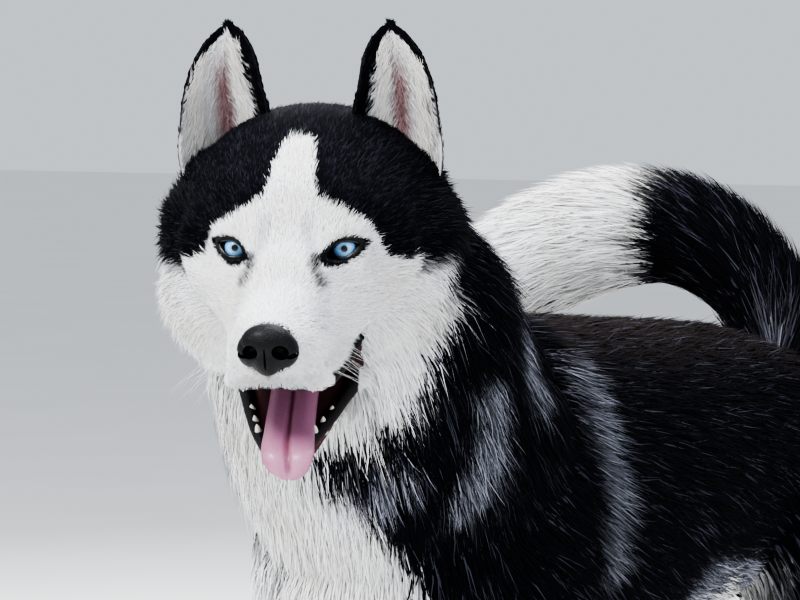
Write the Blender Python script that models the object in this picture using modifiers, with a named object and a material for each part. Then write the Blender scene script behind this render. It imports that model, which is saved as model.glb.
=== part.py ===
"""A Siberian husky, life size, standing still with its head turned to its left and its mouth open.

Metres, +Z up. The dog faces -Y, its left side is +X, and the floor is at z = 0. The animal is
modelled whole from lofted tubes and blobs, fused by a voxel remesh, and then parted by thin cuts.
"""

import math
import random

import bmesh
import bpy
from mathutils import Matrix, Vector
from mathutils.bvhtree import BVHTree

# The driving size, and the unit of every table below: a millimetre on a dog 585 mm at the withers
WITHERS_HEIGHT = 0.585
MM = WITHERS_HEIGHT / 585.0

# The pose of the head, whose own frame has its origin midway between the eyes
EYES_AT = (50, -420, 640)
HEAD_YAW = math.radians(25.8)
HEAD_PITCH = math.radians(9)
HEAD_ROLL = math.radians(0)
JAW_OPEN = math.radians(23)
JAW_HINGE = (0, 55, -45)

# Seams and fusing, in real metres
GAP = 0.0003
TOUCH = 0.000001
LOOSE = 0.00005
VOXEL = 0.0034
SMOOTH_STEPS = 36

# How far each paw stands from its square place, along the body
STEP = {"fore_left": -14, "fore_right": 16, "hind_left": 18, "hind_right": -24}
SIDES = {"left": 1, "right": -1}

# Colours, as (red, green, blue, roughness)
BLACK_COAT = (0.020, 0.020, 0.026, 0.75)
WHITE_COAT = (0.80, 0.79, 0.77, 0.75)
GREY_COAT = (0.16, 0.16, 0.18, 0.75)
NOSE_SKIN = (0.012, 0.012, 0.014, 0.35)
IRIS_BLUE = (0.30, 0.55, 0.85, 0.08)
TONGUE_PINK = (0.75, 0.32, 0.40, 0.40)
CLAW_HORN = (0.05, 0.045, 0.045, 0.40)

# Torso rings from chest to buttocks: y, z of the middle, half width, up, down
TORSO = (
    (-324, 428, 12, 24, 18),
    (-310, 426, 56, 88, 66),
    (-288, 426, 86, 114, 96),
    (-245, 430, 105, 128, 128),
    (-180, 434, 118, 149, 156),
    (-100, 434, 122, 147, 160),
    (0, 436, 120, 138, 148),
    (90, 442, 111, 126, 126),
    (170, 448, 105, 112, 108),
    (240, 448, 103, 94, 102),
    (296, 436, 86, 64, 82),
    (330, 426, 54, 38, 52),
    (344, 424, 14, 12, 14),
)
# Neck rings from the shoulders to the skull: x, y, z, half width, throat side, nape side
NECK = (
    (0, -150, 425, 84, 92, 90),
    (1, -195, 466, 108, 130, 110),
    (4, -240, 514, 108, 122, 104),
    (10, -284, 564, 104, 100, 98),
    (18, -322, 612, 98, 88, 88),
    (24, -346, 650, 76, 66, 66),
)
# Foreleg rings from shoulder to pastern: x, y, z, half width, behind, before
FORELEG = (
    (58, -200, 486, 26, 46, 46),
    (70, -192, 430, 46, 72, 70),
    (82, -186, 345, 44, 62, 58),
    (83, -179, 282, 37, 47, 42),
    (80, -182, 222, 30, 35, 33),
    (77, -187, 158, 26, 28.5, 28),
    (76, -189, 126, 27, 28, 29),
    (75, -192, 90, 24, 25, 25),
    (74, -202, 54, 26, 28, 28),
    (74, -210, 30, 26, 27, 27),
    (74, -214, 14, 20, 22, 22),
)
# Hind leg rings from hip to pastern
HIND_LEG = (
    (46, 232, 505, 24, 40, 40),
    (60, 226, 462, 50, 80, 72),
    (74, 214, 395, 54, 92, 86),
    (84, 198, 322, 47, 76, 64),
    (86, 220, 260, 37, 50, 46),
    (84, 264, 200, 28, 35, 34),
    (83, 300, 156, 24, 30, 28),
    (82, 306, 106, 21, 24, 23),
    (81, 299, 62, 23, 25, 25),
    (80, 292, 32, 25, 27, 26),
    (80, 290, 14, 20, 22, 22),
)
# Tail rings from root to tip, without the plume: x, y, z, radius
TAIL = (
    (0, 296, 462, 34),
    (-2, 320, 498, 33),
    (-20, 330, 554, 33),
    (-54, 314, 601, 37),
    (-96, 290, 622, 41),
    (-145, 260, 619, 43),
    (-190, 224, 598, 40),
    (-214, 194, 570, 32),
    (-223, 178, 546, 15),
)
# Skull and upper muzzle rings from the nose back, in the head's frame: y, z, half width, up, down
SKULL = (
    (-102, -50, 8, 8, 10),
    (-98, -50, 19, 16, 18),
    (-88, -50, 27, 23, 25),
    (-70, -48, 32.5, 29, 30),
    (-50, -44.5, 37, 34, 33),
    (-32, -37.5, 45, 42, 38),
    (-15, -28, 58, 45, 44),
    (3, -18, 73, 60, 56),
    (24, -8, 84, 76, 70),
    (50, -4, 91, 88, 80),
    (78, -6, 92, 91, 84),
    (104, -10, 80, 82, 78),
    (122, -12, 50, 52, 50),
)
# Lower jaw rings with the mouth shut, in the head's frame
JAW = (
    (-86, -75, 5, 3, 4),
    (-82, -75, 13, 6, 8),
    (-70, -76, 19.5, 8, 13),
    (-48, -77, 24, 9, 17),
    (-22, -75, 30, 11, 23),
    (6, -70, 40, 16, 30),
    (36, -64, 50, 22, 36),
    (62, -56, 50, 24, 34),
)
# Soft masses that fill out the tubes, in the head's frame: middle, radii, both sides of the head
CHEEK = ((40, 62, -34), (52, 62, 60))
BROW = ((26, -8, 19), (15, 12, 9))
FLEWS = ((17, -78, -64), (15, 17, 13))
EAR_ROOT = ((66, 66, 34), (24, 22, 24))
# Small moves of the fused skin, in the head's frame: middle, reach, move, both sides of the head
DABS = (
    ((38, -24, 3), 17, (-2, 5, 0)),
    ((57, -12, 1), 22, (-6, 6, 0)),
    ((36, -45, -16), 20, (-4, 0, -1)),
)

# The edges of the lips as thin tubes, from the corner of the mouth to the front: x, y, z, radius
UPPER_LIP = (
    (43, -8, -56, 6),
    (39, -30, -64.5, 5.5),
    (35, -52, -71, 5),
    (30, -72, -73, 5),
    (17, -86, -70.5, 5),
    (4, -92, -67, 4),
)
LOWER_LIP = (
    (42, -4, -62, 6),
    (33, -30, -66, 5),
    (25, -54, -69, 4.5),
    (16, -74, -70, 4),
    (6, -83, -72, 3.5),
)

EYE_MIDDLE = (36, -13, 4.5)
EYE_RADIUS = 11.0
EYE_OUT = math.radians(9)
EYE_UP = math.radians(6)
LID_THICK = 2.4
LID_SLANT = math.radians(18)
LID_OPENING = (10.2, 5.9)

# Nose leather blobs, in the head's frame: middle, radii, and each nostril as a tilted ellipsoid
NOSE_BLOBS = (
    ((0, -101, -40), (17.5, 11, 12.5)),
    ((0, -103, -48.5), (8, 8, 14)),
    ((11, -99, -44), (9.5, 9, 12)),
    ((-11, -99, -44), (9.5, 9, 12)),
)
NOSE_TRIANGLES = 190
NOSTRIL = ((9.5, -109, -43), (4.4, 7, 3.6))
# Tongue rings over the lower jaw to the hanging tip: x, y, z, half width, half thickness above, below
TONGUE = (
    (0, 10, -76, 15, 4, 7),
    (0, -10, -89, 18, 4, 7),
    (1, -32, -102, 19, 4, 6),
    (3, -54, -112, 19.5, 4, 5),
    (5, -70, -117, 20, 3.5, 4),
    (7, -80, -122, 19, 3, 3),
    (8, -84, -130, 14, 2.5, 2.5),
    (8, -84, -135, 6, 2, 2),
)
# Teeth of the lower jaw in its shut frame, and of the upper: x, y, z of the root, radius, height
LOWER_TEETH = (
    (17, -66, -70, 3.6, 15),
    (10.5, -74, -71, 2.4, 9),
    (3.6, -77, -71, 2.4, 9),
    (22, -54, -71, 3.2, 9),
    (26, -42, -71, 3.6, 9),
)
UPPER_TEETH = ((22, -70, -66, 4.0, 14),)

# Each ear's edges from base to tip, in the head's frame on the dog's left, with the tip between them
EAR_INNER = ((27, 68, 58), (30, 70, 86), (38, 68, 112), (47, 70, 129), (54, 73, 140))
EAR_OUTER = ((88, 63, 33), (91, 61, 58), (85, 63, 92), (72, 69, 123), (58, 73, 140))
EAR_CUP = 22
EAR_THICK = 4.5

TOE_ACROSS = (-23, -8, 8, 23)
TOE_AHEAD = (-21, -32, -32, -21)
TOE_RADII = (11, 18, 14)
PAW_MIDDLE = {"fore": (74, -221), "hind": (80, 281)}
# Claw rings ahead of each toe's middle: ahead, up, radius
CLAW = ((9, 6, 3.4), (20, 3, 2.8), (27, -4, 1.0))

# Thin cuts that part the whole: name, frame, middle, normal, half width across and along
CUTS = (
    ("nape", "head", (0, 57, -30), (0, -180, 75), 128, 128),
    ("jaw", "jaw", (0, -13.6, -74), (0, 57, 30), 66, 31),
    ("shoulders", "body", (0, -247, 505), (0, -150, 165), 150, 150),
    ("loin", "body", (0, 20, 440), (0, 1, 0), 172, 172),
    ("tail_root", "body", (-6, 330, 522), (-0.15, 0.35, 0.9), 52, 52),
    ("tail_middle", "body", (-84, 297, 623), (-0.8, -0.45, 0.35), 52, 52),
    ("tail_end", "body", (-178, 236, 618), (-0.75, -0.6, -0.3), 52, 52),
)
# The level cuts of a leg, from above: the middle and half width of each
LEG_CUTS = {
    "fore": (((82, -185, 262), 74), ((75, -194, 76), 52)),
    "hind": (((80, 206, 322), 92), ((83, 302, 132), 50)),
}
FLOOR_BLOCK = 300

# A point inside each piece that the cuts leave, for its name; those of the legs stand on each side
ANCHORS = {
    "neck": (8, -270, 545),
    "torso_front": (0, -120, 440),
    "torso_rear": (0, 150, 440),
    "tail_root": (-30, 328, 575),
    "tail_middle": (-130, 268, 630),
    "tail_end": (-205, 205, 597),
}
HEAD_ANCHORS = {"head": ("head", (0, 10, 10)), "lower_jaw": ("jaw", (0, -50, -85))}
LEG_ANCHORS = {
    "fore": (("leg", (80, -185, 180)), ("paw", (75, -210, 30))),
    "hind": (("leg", (86, 225, 250)), ("foot", (82, 300, 60))),
}

# Locks: how many round or across each row, the rows' places, length, half width, how far the tips stand off
TAIL_LOCKS = {"around": 5, "rows": (1.3, 2.2, 3.1, 4.0, 4.9, 5.8, 6.7), "size": (92, 20, 17)}
NECK_LOCKS = {"around": 8, "rows": (1.6, 2.7, 3.8), "size": (86, 28, 16)}
CHEEK_LOCKS = {"angles": (6, -20, -46), "rows": (36, 66), "size": (62, 18, 12)}
CHEST_LOCKS = {"angles": (-48, -8, 32), "rises": (24, 2, -20), "size": (76, 26, 14)}
BREECHES_LOCKS = {"heights": (450, 400), "angles": (-26, 14), "size": (74, 20, 12)}
FEATHER_LOCKS = {"heights": (228,), "size": (50, 11, 7)}
LOCK_SEED = 1
OTHER_SEEDS = {"neck": 16}
LOCK_SINK = 5
LOCK_RIDGE = 0.3
# A lock's rings: share of its length, of its width, and of how far its tip stands off
LOCK_RINGS = ((0, 0.8, 0), (0.35, 1.0, 0.25), (0.72, 0.6, 0.65), (1.0, 0.0, 1.0))

# The main colour of the pieces whose names start so; the rest are white
COLOURS = (
    ("torso", BLACK_COAT),
    ("neck", BLACK_COAT),
    ("tail_root", BLACK_COAT),
    ("tail_middle", GREY_COAT),
    ("ear", BLACK_COAT),
    ("hindleg", GREY_COAT),
    ("nose", NOSE_SKIN),
    ("eye", IRIS_BLUE),
    ("tongue", TONGUE_PINK),
    ("claw", CLAW_HORN),
)

# The rows of the tail's path that each of its pieces bears locks on
TAIL_SPANS = {"tail_root": (0.8, 3.3), "tail_middle": (3.3, 5.3), "tail_end": (5.3, 8)}
# The pieces that the locks of each piece could cross
NEIGHBOURS = {
    "head": ("neck", "lower_jaw", "torso_front"),
    "neck": ("head", "torso_front", "lower_jaw"),
    "torso_front": ("neck", "torso_rear", "foreleg_left", "foreleg_right", "head"),
    "torso_rear": ("torso_front", "hindleg_left", "hindleg_right", "tail_root"),
    "tail_root": ("torso_rear", "tail_middle"),
    "tail_middle": ("tail_root", "tail_end", "torso_rear"),
    "tail_end": ("tail_middle", "torso_rear", "torso_front"),
    "foreleg_left": ("torso_front", "forepaw_left"),
    "foreleg_right": ("torso_front", "forepaw_right"),
}

# Triangles left in each region of the whole before the cuts
REGION_TRIANGLES = {"head": 1750, "body": 2050, "paws": 470}


def clear_scene():
    for old in list(bpy.data.objects):
        bpy.data.objects.remove(old, do_unlink=True)


def collection(name):
    made = bpy.data.collections.new(name)
    bpy.context.scene.collection.children.link(made)
    return made


def put(bm, name):
    """A new object in the part's collection from a bmesh with its faces turned out."""
    bmesh.ops.recalc_face_normals(bm, faces=bm.faces)
    mesh = bpy.data.meshes.new(name)
    bm.to_mesh(mesh)
    bm.free()
    made = bpy.data.objects.new(name, mesh)
    PART.objects.link(made)
    return made


def remove(objects):
    for gone in objects:
        bpy.data.objects.remove(gone, do_unlink=True)


def bake_modifiers(target):
    """Replaces the object's mesh with what its modifiers make of it."""
    graph = bpy.context.evaluated_depsgraph_get()
    mesh = bpy.data.meshes.new_from_object(target.evaluated_get(graph))
    target.modifiers.clear()
    target.data = mesh


def between(rows, steps):
    """The rows with smooth Catmull-Rom rows between them."""
    made = []
    last = len(rows) - 1
    for i in range(last):
        p0, p1, p2, p3 = (rows[k] for k in (max(i - 1, 0), i, i + 1, min(i + 2, last)))
        for k in range(steps):
            t = k / steps
            row = []
            for a, b, c, d in zip(p0, p1, p2, p3):
                bend, twist = 2 * a - 5 * b + 4 * c - d, 3 * b - a - 3 * c + d
                row.append(0.5 * (2 * b + (c - a) * t + bend * t * t + twist * t**3))
            made.append(row)
    made.append(list(rows[last]))
    return made


def tube(name, rows, place=None, sides=28, steps=4, power=2.0, lateral=(1, 0, 0)):
    """A closed loft through rings of x, y, z, half width, reach on one side, reach on the other."""
    place = place or Matrix()
    rows = between(rows, steps)
    middles = [Vector(row[:3]) * MM for row in rows]
    last = len(rows) - 1
    bm = bmesh.new()
    rings = []
    for i, row in enumerate(rows):
        along = (middles[min(i + 1, last)] - middles[max(i - 1, 0)]).normalized()
        side = Vector(lateral)
        side = (side - along * side.dot(along)).normalized()
        up = side.cross(along)
        width, above, below = (size * MM for size in row[3:6])
        ring = []
        for k in range(sides):
            c, s = math.cos(2 * math.pi * k / sides), math.sin(2 * math.pi * k / sides)
            across = math.copysign(abs(c) ** (2 / power), c) * width
            rise = math.copysign(abs(s) ** (2 / power), s) * (above if s > 0 else below)
            ring.append(bm.verts.new(place @ (middles[i] + side * across + up * rise)))
        rings.append(ring)
    for a, b in zip(rings, rings[1:]):
        for k in range(sides):
            bm.faces.new((a[k], a[(k + 1) % sides], b[(k + 1) % sides], b[k]))
    bm.faces.new(rings[0])
    bm.faces.new(rings[-1])
    return put(bm, name)


def blob(name, middle, radii, place=None, detail=3):
    """An ellipsoid."""
    bm = bmesh.new()
    shape = Matrix.Translation(Vector(middle) * MM) @ Matrix.Diagonal((*(r * MM for r in radii), 1))
    bmesh.ops.create_icosphere(bm, subdivisions=detail, radius=1, matrix=(place or Matrix()) @ shape)
    return put(bm, name)


def head_place():
    turn = Matrix.Rotation(HEAD_YAW, 4, "Z") @ Matrix.Rotation(HEAD_PITCH, 4, "X")
    return Matrix.Translation(Vector(EYES_AT) * MM) @ turn @ Matrix.Rotation(HEAD_ROLL, 4, "Y")


def jaw_place():
    """The lower jaw's place: the head's, opened about the jaw hinge."""
    hinge = Vector(JAW_HINGE) * MM
    return HEAD @ Matrix.Translation(hinge) @ Matrix.Rotation(JAW_OPEN, 4, "X") @ Matrix.Translation(-hinge)


def middle_rows(rows):
    """Rings of y, z, half width, up, down as rings on the plane of symmetry."""
    return [(0, *row) for row in rows]


def leg_rows(rows, leg):
    """A leg's rings on its own side, with its paw stepped along the body."""
    pair, side = leg.split("_")
    top = FULL_HEIGHT[pair]
    return [(row[0] * SIDES[side], row[1] + STEP[leg] * (1 - row[2] / top), *row[2:]) for row in rows]


def paw_blobs(leg):
    """The pad, the knuckles and four toes, sunk a little below the floor, which is cut flat later."""
    pair, side = leg.split("_")
    x, y = PAW_MIDDLE[pair]
    x *= SIDES[side]
    y += STEP[leg]
    made = [
        blob(f"{leg}_knuckles", (x, y - 5, 20), (31, 35, 22)),
        blob(f"{leg}_pad", (x, y + 14, 11), (22, 22, 13)),
    ]
    for across, ahead in zip(TOE_ACROSS, TOE_AHEAD):
        made.append(blob(f"{leg}_toe", (x + across, y + ahead, 12), TOE_RADII))
    return made


def both_sides(shape, name, place):
    """A soft mass on each side of the head."""
    (x, y, z), radii = shape
    return [blob(name, (x * side, y, z), radii, place) for side in SIDES.values()]


def lips():
    """The rolled edges of the upper and lower lips."""
    made = []
    for rows, place in ((UPPER_LIP, HEAD), (LOWER_LIP, JAW_AT)):
        for side in SIDES.values():
            path = [(x * side, y, z, radius, radius, radius) for x, y, z, radius in rows]
            made.append(tube("lip", path, place, sides=12))
    return made


def flesh():
    """Every tube and mass of the whole animal, still apart."""
    pieces = lips()
    pieces += [
        tube("torso", middle_rows(TORSO), sides=36),
        tube("neck", NECK, sides=36),
        tube("skull", middle_rows(SKULL), HEAD, sides=40, steps=5, power=2.15),
        tube("jaw", middle_rows(JAW), JAW_AT, sides=32, power=2.3),
        tube("tail", [(*row, row[3], row[3]) for row in TAIL], lateral=(0.6, -0.8, 0)),
    ]
    for shape, name in ((CHEEK, "cheek"), (BROW, "brow"), (FLEWS, "flews"), (EAR_ROOT, "ear_root")):
        pieces += both_sides(shape, name, HEAD)
    for leg in STEP:
        rows = FORELEG if leg.startswith("fore") else HIND_LEG
        pieces.append(tube(leg, leg_rows(rows, leg)))
        pieces += paw_blobs(leg)
    return pieces


def joined(pieces, name):
    """The pieces' meshes as one object, still crossing each other."""
    bm = bmesh.new()
    for piece in pieces:
        bm.from_mesh(piece.data)
    remove(pieces)
    return put(bm, name)


def fuse(target, voxel, steps, weight=None):
    """One closed skin from crossing closed meshes, smoothed by weight(point) where that is given."""
    remesh = target.modifiers.new("remesh", "REMESH")
    remesh.mode = "VOXEL"
    remesh.voxel_size = voxel
    bake_modifiers(target)
    smooth = target.modifiers.new("smooth", "SMOOTH")
    smooth.factor = 0.5
    smooth.iterations = steps
    if weight:
        group = target.vertex_groups.new(name="smooth")
        for vertex in target.data.vertices:
            group.add([vertex.index], weight(vertex.co), "REPLACE")
        smooth.vertex_group = group.name
    bake_modifiers(target)
    target.vertex_groups.clear()


def softness(point):
    """Full smoothing on the body, less on the head, least on the toes."""
    if point.z < 60 * MM:
        return 0.08
    local = HEAD_BACK @ point
    if local.z < -150 * MM or local.y > 60 * MM:
        return 1.0
    return 0.14 if local.y < 12 * MM else 0.5


def sculpt(target):
    """Moves the skin of the head by the dabs, each fading out over its reach."""
    for vertex in target.data.vertices:
        local = HEAD_BACK @ vertex.co
        if local.y > 110 * MM or local.z < -150 * MM:
            continue
        for (x, y, z), reach, move in DABS:
            for side in SIDES.values():
                far = (local - Vector((x * side, y, z)) * MM).length / (reach * MM)
                if far < 1:
                    share = (1 - far * far) ** 2 / (2 if x == 0 else 1)
                    local += Vector((move[0] * side, move[1], move[2])) * MM * share
        vertex.co = HEAD @ local


def region(point):
    """The part of the body that a point of the whole belongs to when its faces are thinned out."""
    if point.z < 80 * MM:
        return "paws"
    local = HEAD_BACK @ point
    return "head" if local.y < 60 * MM and local.z > -150 * MM else "body"


def triangle_count(mesh):
    return sum(len(face.vertices) - 2 for face in mesh.polygons)


def thin_out(target):
    """Thins each region's faces to its own number, keeping the shape."""
    for name, wanted in REGION_TRIANGLES.items():
        inside = [vertex.index for vertex in target.data.vertices if region(vertex.co) == name]
        chosen = set(inside)
        here = sum(2 for face in target.data.polygons if all(v in chosen for v in face.vertices))
        if len(target.data.polygons[0].vertices) == 3:
            here //= 2
        total = triangle_count(target.data)
        group = target.vertex_groups.new(name="thin")
        group.add(inside, 1.0, "REPLACE")
        thin = target.modifiers.new("thin", "DECIMATE")
        thin.ratio = 1 - max(here - wanted, 0) / total
        thin.vertex_group = group.name
        thin.vertex_group_factor = 1000.0
        thin.use_collapse_triangulate = True
        bake_modifiers(target)
        target.vertex_groups.clear()


def frame_of(name):
    return {"head": HEAD, "jaw": JAW_AT, "body": Matrix()}[name]


def slab(name, middle, normal, across, along, place):
    """A thin plate for one cut, across as near to X as its normal lets it be."""
    normal = Vector(normal).normalized()
    side = (Vector((1, 0, 0)) - normal * normal.x).normalized()
    turn = Matrix((side, normal.cross(side), normal)).transposed().to_4x4()
    size = Matrix.Diagonal((2 * across * MM, 2 * along * MM, GAP, 1))
    bm = bmesh.new()
    bmesh.ops.create_cube(bm, size=1, matrix=place @ Matrix.Translation(Vector(middle) * MM) @ turn @ size)
    return put(bm, name)


def in_order(target):
    """Lists corners and faces by their place, as a Boolean may list them in any order."""
    points = [tuple(vertex.co) for vertex in target.data.vertices]
    order = sorted(range(len(points)), key=points.__getitem__)
    rank = {index: place for place, index in enumerate(order)}
    faces = []
    for polygon in target.data.polygons:
        corners = [rank[index] for index in polygon.vertices]
        first = corners.index(min(corners))
        faces.append(corners[first:] + corners[:first])
    mesh = bpy.data.meshes.new(target.name)
    mesh.from_pydata([points[index] for index in order], [], sorted(faces))
    target.data = mesh


def boolean(target, others, operation, solver="MANIFOLD"):
    """Joins or cuts the target with the other objects, which are removed."""
    group = collection("cutters")
    for other in others:
        for home in list(other.users_collection):
            home.objects.unlink(other)
        group.objects.link(other)
    change = target.modifiers.new("change", "BOOLEAN")
    change.operation = operation
    change.solver = solver
    change.operand_type = "COLLECTION"
    change.collection = group
    bake_modifiers(target)
    in_order(target)
    remove(others)
    bpy.data.collections.remove(group)


def surfaces(bm):
    """The closed surfaces of a mesh, as lists of faces."""
    seen = set()
    found = []
    for start in bm.faces:
        if start in seen:
            continue
        seen.add(start)
        patch = [start]
        for face in patch:
            for edge in face.edges:
                for other in edge.link_faces:
                    if other not in seen:
                        seen.add(other)
                        patch.append(other)
        found.append(patch)
    return found


def enclosed(patch):
    """The volume inside a closed surface."""
    total = 0.0
    for face in patch:
        corners = [vertex.co for vertex in face.verts]
        for b, c in zip(corners[1:], corners[2:]):
            total += corners[0].dot(b.cross(c)) / 6
    return abs(total)


def triangulate(bm):
    """Triangles only; where two faces would be split along one line, the first gets a corner of its own."""
    methods = {"quad_method": "SHORT_EDGE", "ngon_method": "EAR_CLIP"}
    origin = bmesh.ops.triangulate(bm, faces=bm.faces, **methods)["face_map"]
    for edge in [edge for edge in bm.edges if len(edge.link_faces) > 2]:
        groups = {}
        for face in edge.link_faces:
            groups.setdefault(origin.get(face, face), []).append(face)
        pair = next((faces for faces in groups.values() if len(faces) == 2), None)
        if not pair:
            continue
        loops = [loop for face in pair for loop in face.loops if loop.edge is not edge]
        sides = [(loop.vert, loop.link_loop_next.vert) for loop in loops]
        middle = bm.verts.new(sum((a.co for a, _ in sides), Vector()) / len(sides))
        bmesh.ops.delete(bm, geom=pair, context="FACES_ONLY")
        for a, b in sides:
            bm.faces.new((a, b, middle))


def keep_largest(target):
    """Drops loose scraps and sealed hollows."""
    bm = bmesh.new()
    bm.from_mesh(target.data)
    triangulate(bm)
    found = sorted(surfaces(bm), key=enclosed)
    for patch in found[:-1]:
        bmesh.ops.delete(bm, geom=patch, context="FACES")
    bmesh.ops.delete(bm, geom=[v for v in bm.verts if not v.link_faces], context="VERTS")
    bm.to_mesh(target.data)
    bm.free()


def holds(tree, point):
    """Whether a closed surface has the point inside: a ray from there crosses it an odd number of times."""
    way = Vector((0.31, 0.22, 0.93)).normalized()
    crossings = 0
    hit = tree.ray_cast(point, way)[0]
    while hit:
        crossings += 1
        hit = tree.ray_cast(hit + way * 1e-6, way)[0]
    return crossings % 2 == 1


def part_whole(whole):
    """Cuts the whole animal and names each piece by the anchor that lies deepest in it."""
    plates = [slab(name, *shape, frame_of(frame)) for name, frame, *shape in CUTS]
    anchors = {name: Vector(point) * MM for name, point in ANCHORS.items()}
    for name, (frame, point) in HEAD_ANCHORS.items():
        anchors[name] = frame_of(frame) @ (Vector(point) * MM)
    for leg in STEP:
        pair, side = leg.split("_")
        for cut, half in LEG_CUTS[pair]:
            x, y, z, *_ = leg_rows([(*cut, 0)], leg)[0]
            plates.append(slab(f"{leg}_cut", (x, y, z), (0, 0, 1), half, half, Matrix()))
        for piece, point in LEG_ANCHORS[pair]:
            x, y, z, *_ = leg_rows([(*point, 0)], leg)[0]
            anchors[f"{pair}{piece}_{side}"] = Vector((x, y, z)) * MM
    boolean(whole, plates, "DIFFERENCE")
    bm = bmesh.new()
    bm.from_mesh(whole.data)
    pieces = {}
    for patch in surfaces(bm):
        if enclosed(patch) < (5 * MM) ** 3:
            continue
        index = {}
        for face in patch:
            for vertex in face.verts:
                index.setdefault(vertex, len(index))
        mesh = bpy.data.meshes.new("piece")
        faces = [[index[vertex] for vertex in face.verts] for face in patch]
        mesh.from_pydata([vertex.co for vertex in index], [], faces)
        tree = BVHTree.FromPolygons([tuple(vertex.co) for vertex in index], faces)
        for name, anchor in anchors.items():
            if holds(tree, anchor):
                pieces[name] = bpy.data.objects.new(name, mesh)
                PART.objects.link(pieces[name])
    bm.free()
    remove([whole])
    return pieces


def inflated(target, by=GAP):
    """A copy of the target, a little larger all over."""
    twin = bpy.data.objects.new(f"{target.name}_inflated", target.data.copy())
    PART.objects.link(twin)
    grow = twin.modifiers.new("grow", "DISPLACE")
    grow.mid_level = 0
    grow.strength = by
    bake_modifiers(twin)
    return twin


def eye(side):
    """The eyeball, turned out and a little up, on one side of the head."""
    x, y, z = EYE_MIDDLE
    name = "eye_left" if side > 0 else "eye_right"
    bm = bmesh.new()
    place = HEAD @ Matrix.Translation(Vector((x * side, y, z)) * MM)
    bmesh.ops.create_uvsphere(bm, u_segments=12, v_segments=8, radius=EYE_RADIUS * MM, matrix=place)
    return put(bm, name)


def eye_gaze(side):
    """The frame of one eye: its -Y looks out of the head, along the middle of the lids' opening."""
    x, y, z = EYE_MIDDLE
    turn = Matrix.Rotation(EYE_OUT * side, 4, "Z") @ Matrix.Rotation(-EYE_UP, 4, "X")
    slant = Matrix.Rotation(-LID_SLANT * side, 4, "Y")
    return HEAD @ Matrix.Translation(Vector((x * side, y, z)) * MM) @ turn @ slant


def lids(head):
    """Sets each eye under a ball of lid, which is hollowed for it and opened with an almond."""
    balls, cuts = [], []
    for side in SIDES.values():
        gaze = eye_gaze(side)
        balls.append(blob("lid", (0, 0, 0), (EYE_RADIUS + LID_THICK,) * 3, gaze, detail=3))
        cuts.append(inflated(eye(side)))
        wide, high = LID_OPENING
        almond = []
        for k in range(16):
            angle = 2 * math.pi * k / 16
            lift = math.sin(angle) * high * (1 - 0.35 * abs(math.cos(angle)))
            almond.append(Vector((math.cos(angle) * wide, 0, lift)) * MM)
        bm = bmesh.new()
        near = [bm.verts.new(gaze @ (point + Vector((0, -3 * MM, 0)))) for point in almond]
        far = [bm.verts.new(gaze @ (point * 1.4 + Vector((0, -26 * MM, 0)))) for point in almond]
        for k in range(16):
            bm.faces.new((near[k], near[(k + 1) % 16], far[(k + 1) % 16], far[k]))
        bm.faces.new(near)
        bm.faces.new(far)
        cuts.append(put(bm, "almond"))
    boolean(head, balls, "UNION")
    boolean(head, cuts, "DIFFERENCE")


def nose():
    """The leather of the nose, with both nostrils."""
    made = joined([blob("nose_blob", middle, radii, HEAD) for middle, radii in NOSE_BLOBS], "nose")
    fuse(made, 0.0015, 3)
    shrink(made, NOSE_TRIANGLES)
    (x, y, z), radii = NOSTRIL
    holes = []
    for side in SIDES.values():
        place = HEAD @ Matrix.Translation(Vector((x * side, y, z)) * MM)
        holes.append(blob("nostril", (0, 0, 0), radii, place @ Matrix.Rotation(0.5 * side, 4, "Y"), detail=1))
    boolean(made, holes, "DIFFERENCE")
    return made


def shrink(target, wanted):
    """Fewer faces for the same shape."""
    thin = target.modifiers.new("thin", "DECIMATE")
    thin.ratio = min(1.0, wanted / triangle_count(target.data))
    thin.use_collapse_triangulate = True
    bake_modifiers(target)


def tongue():
    return tube("tongue", TONGUE, HEAD, sides=10, steps=1, power=2.6)


def cone(name, root, tip, radius, sides=5):
    """A tooth: a slim cone from root to tip with a blunt end."""
    axis = tip - root
    turn = axis.to_track_quat("Z", "X").to_matrix().to_4x4()
    bm = bmesh.new()
    place = Matrix.Translation((root + tip) / 2) @ turn
    size = {"segments": sides, "radius1": radius, "radius2": radius * 0.25, "depth": axis.length}
    bmesh.ops.create_cone(bm, cap_ends=True, matrix=place, **size)
    return put(bm, name)


def teeth(rows, place, up):
    """Teeth on both sides; up is +1 for the lower jaw and -1 for the upper."""
    made = []
    for x, y, z, radius, height in rows:
        for side in SIDES.values():
            root = place @ (Vector((x * side, y, z - 5 * up)) * MM)
            tip = place @ (Vector((x * side * 1.06, y - 0.12 * height, z + up * height)) * MM)
            made.append(cone("tooth", root, tip, radius * MM))
    return made


def ear(side):
    """An erect cupped ear: a sheet between its two edges, bent back in the middle and thickened."""
    name = "ear_left" if side > 0 else "ear_right"
    inner, outer = between(EAR_INNER, 2), between(EAR_OUTER, 2)
    last = len(inner) - 1
    across = 4
    bm = bmesh.new()
    grid = []
    for i, (a, b) in enumerate(zip(inner, outer)):
        a, b = Vector(a), Vector(b)
        row = []
        for k in range(across + 1):
            u = 2 * k / across - 1
            back = EAR_CUP * (1 - u * u) * (1 - i / last) ** 0.7 * (a - b).length / 75
            point = a.lerp(b, k / across) + Vector((0, back, 0))
            row.append(bm.verts.new(HEAD @ (Vector((point.x * side, point.y, point.z)) * MM)))
        grid.append(row)
    for a, b in zip(grid, grid[1:]):
        for k in range(across):
            bm.faces.new((a[k], a[k + 1], b[k + 1], b[k]))
    made = put(bm, name)
    shell = made.modifiers.new("shell", "SOLIDIFY")
    shell.thickness = EAR_THICK * MM
    shell.offset = 0
    shell.use_even_offset = False
    bake_modifiers(made)
    return made


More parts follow.
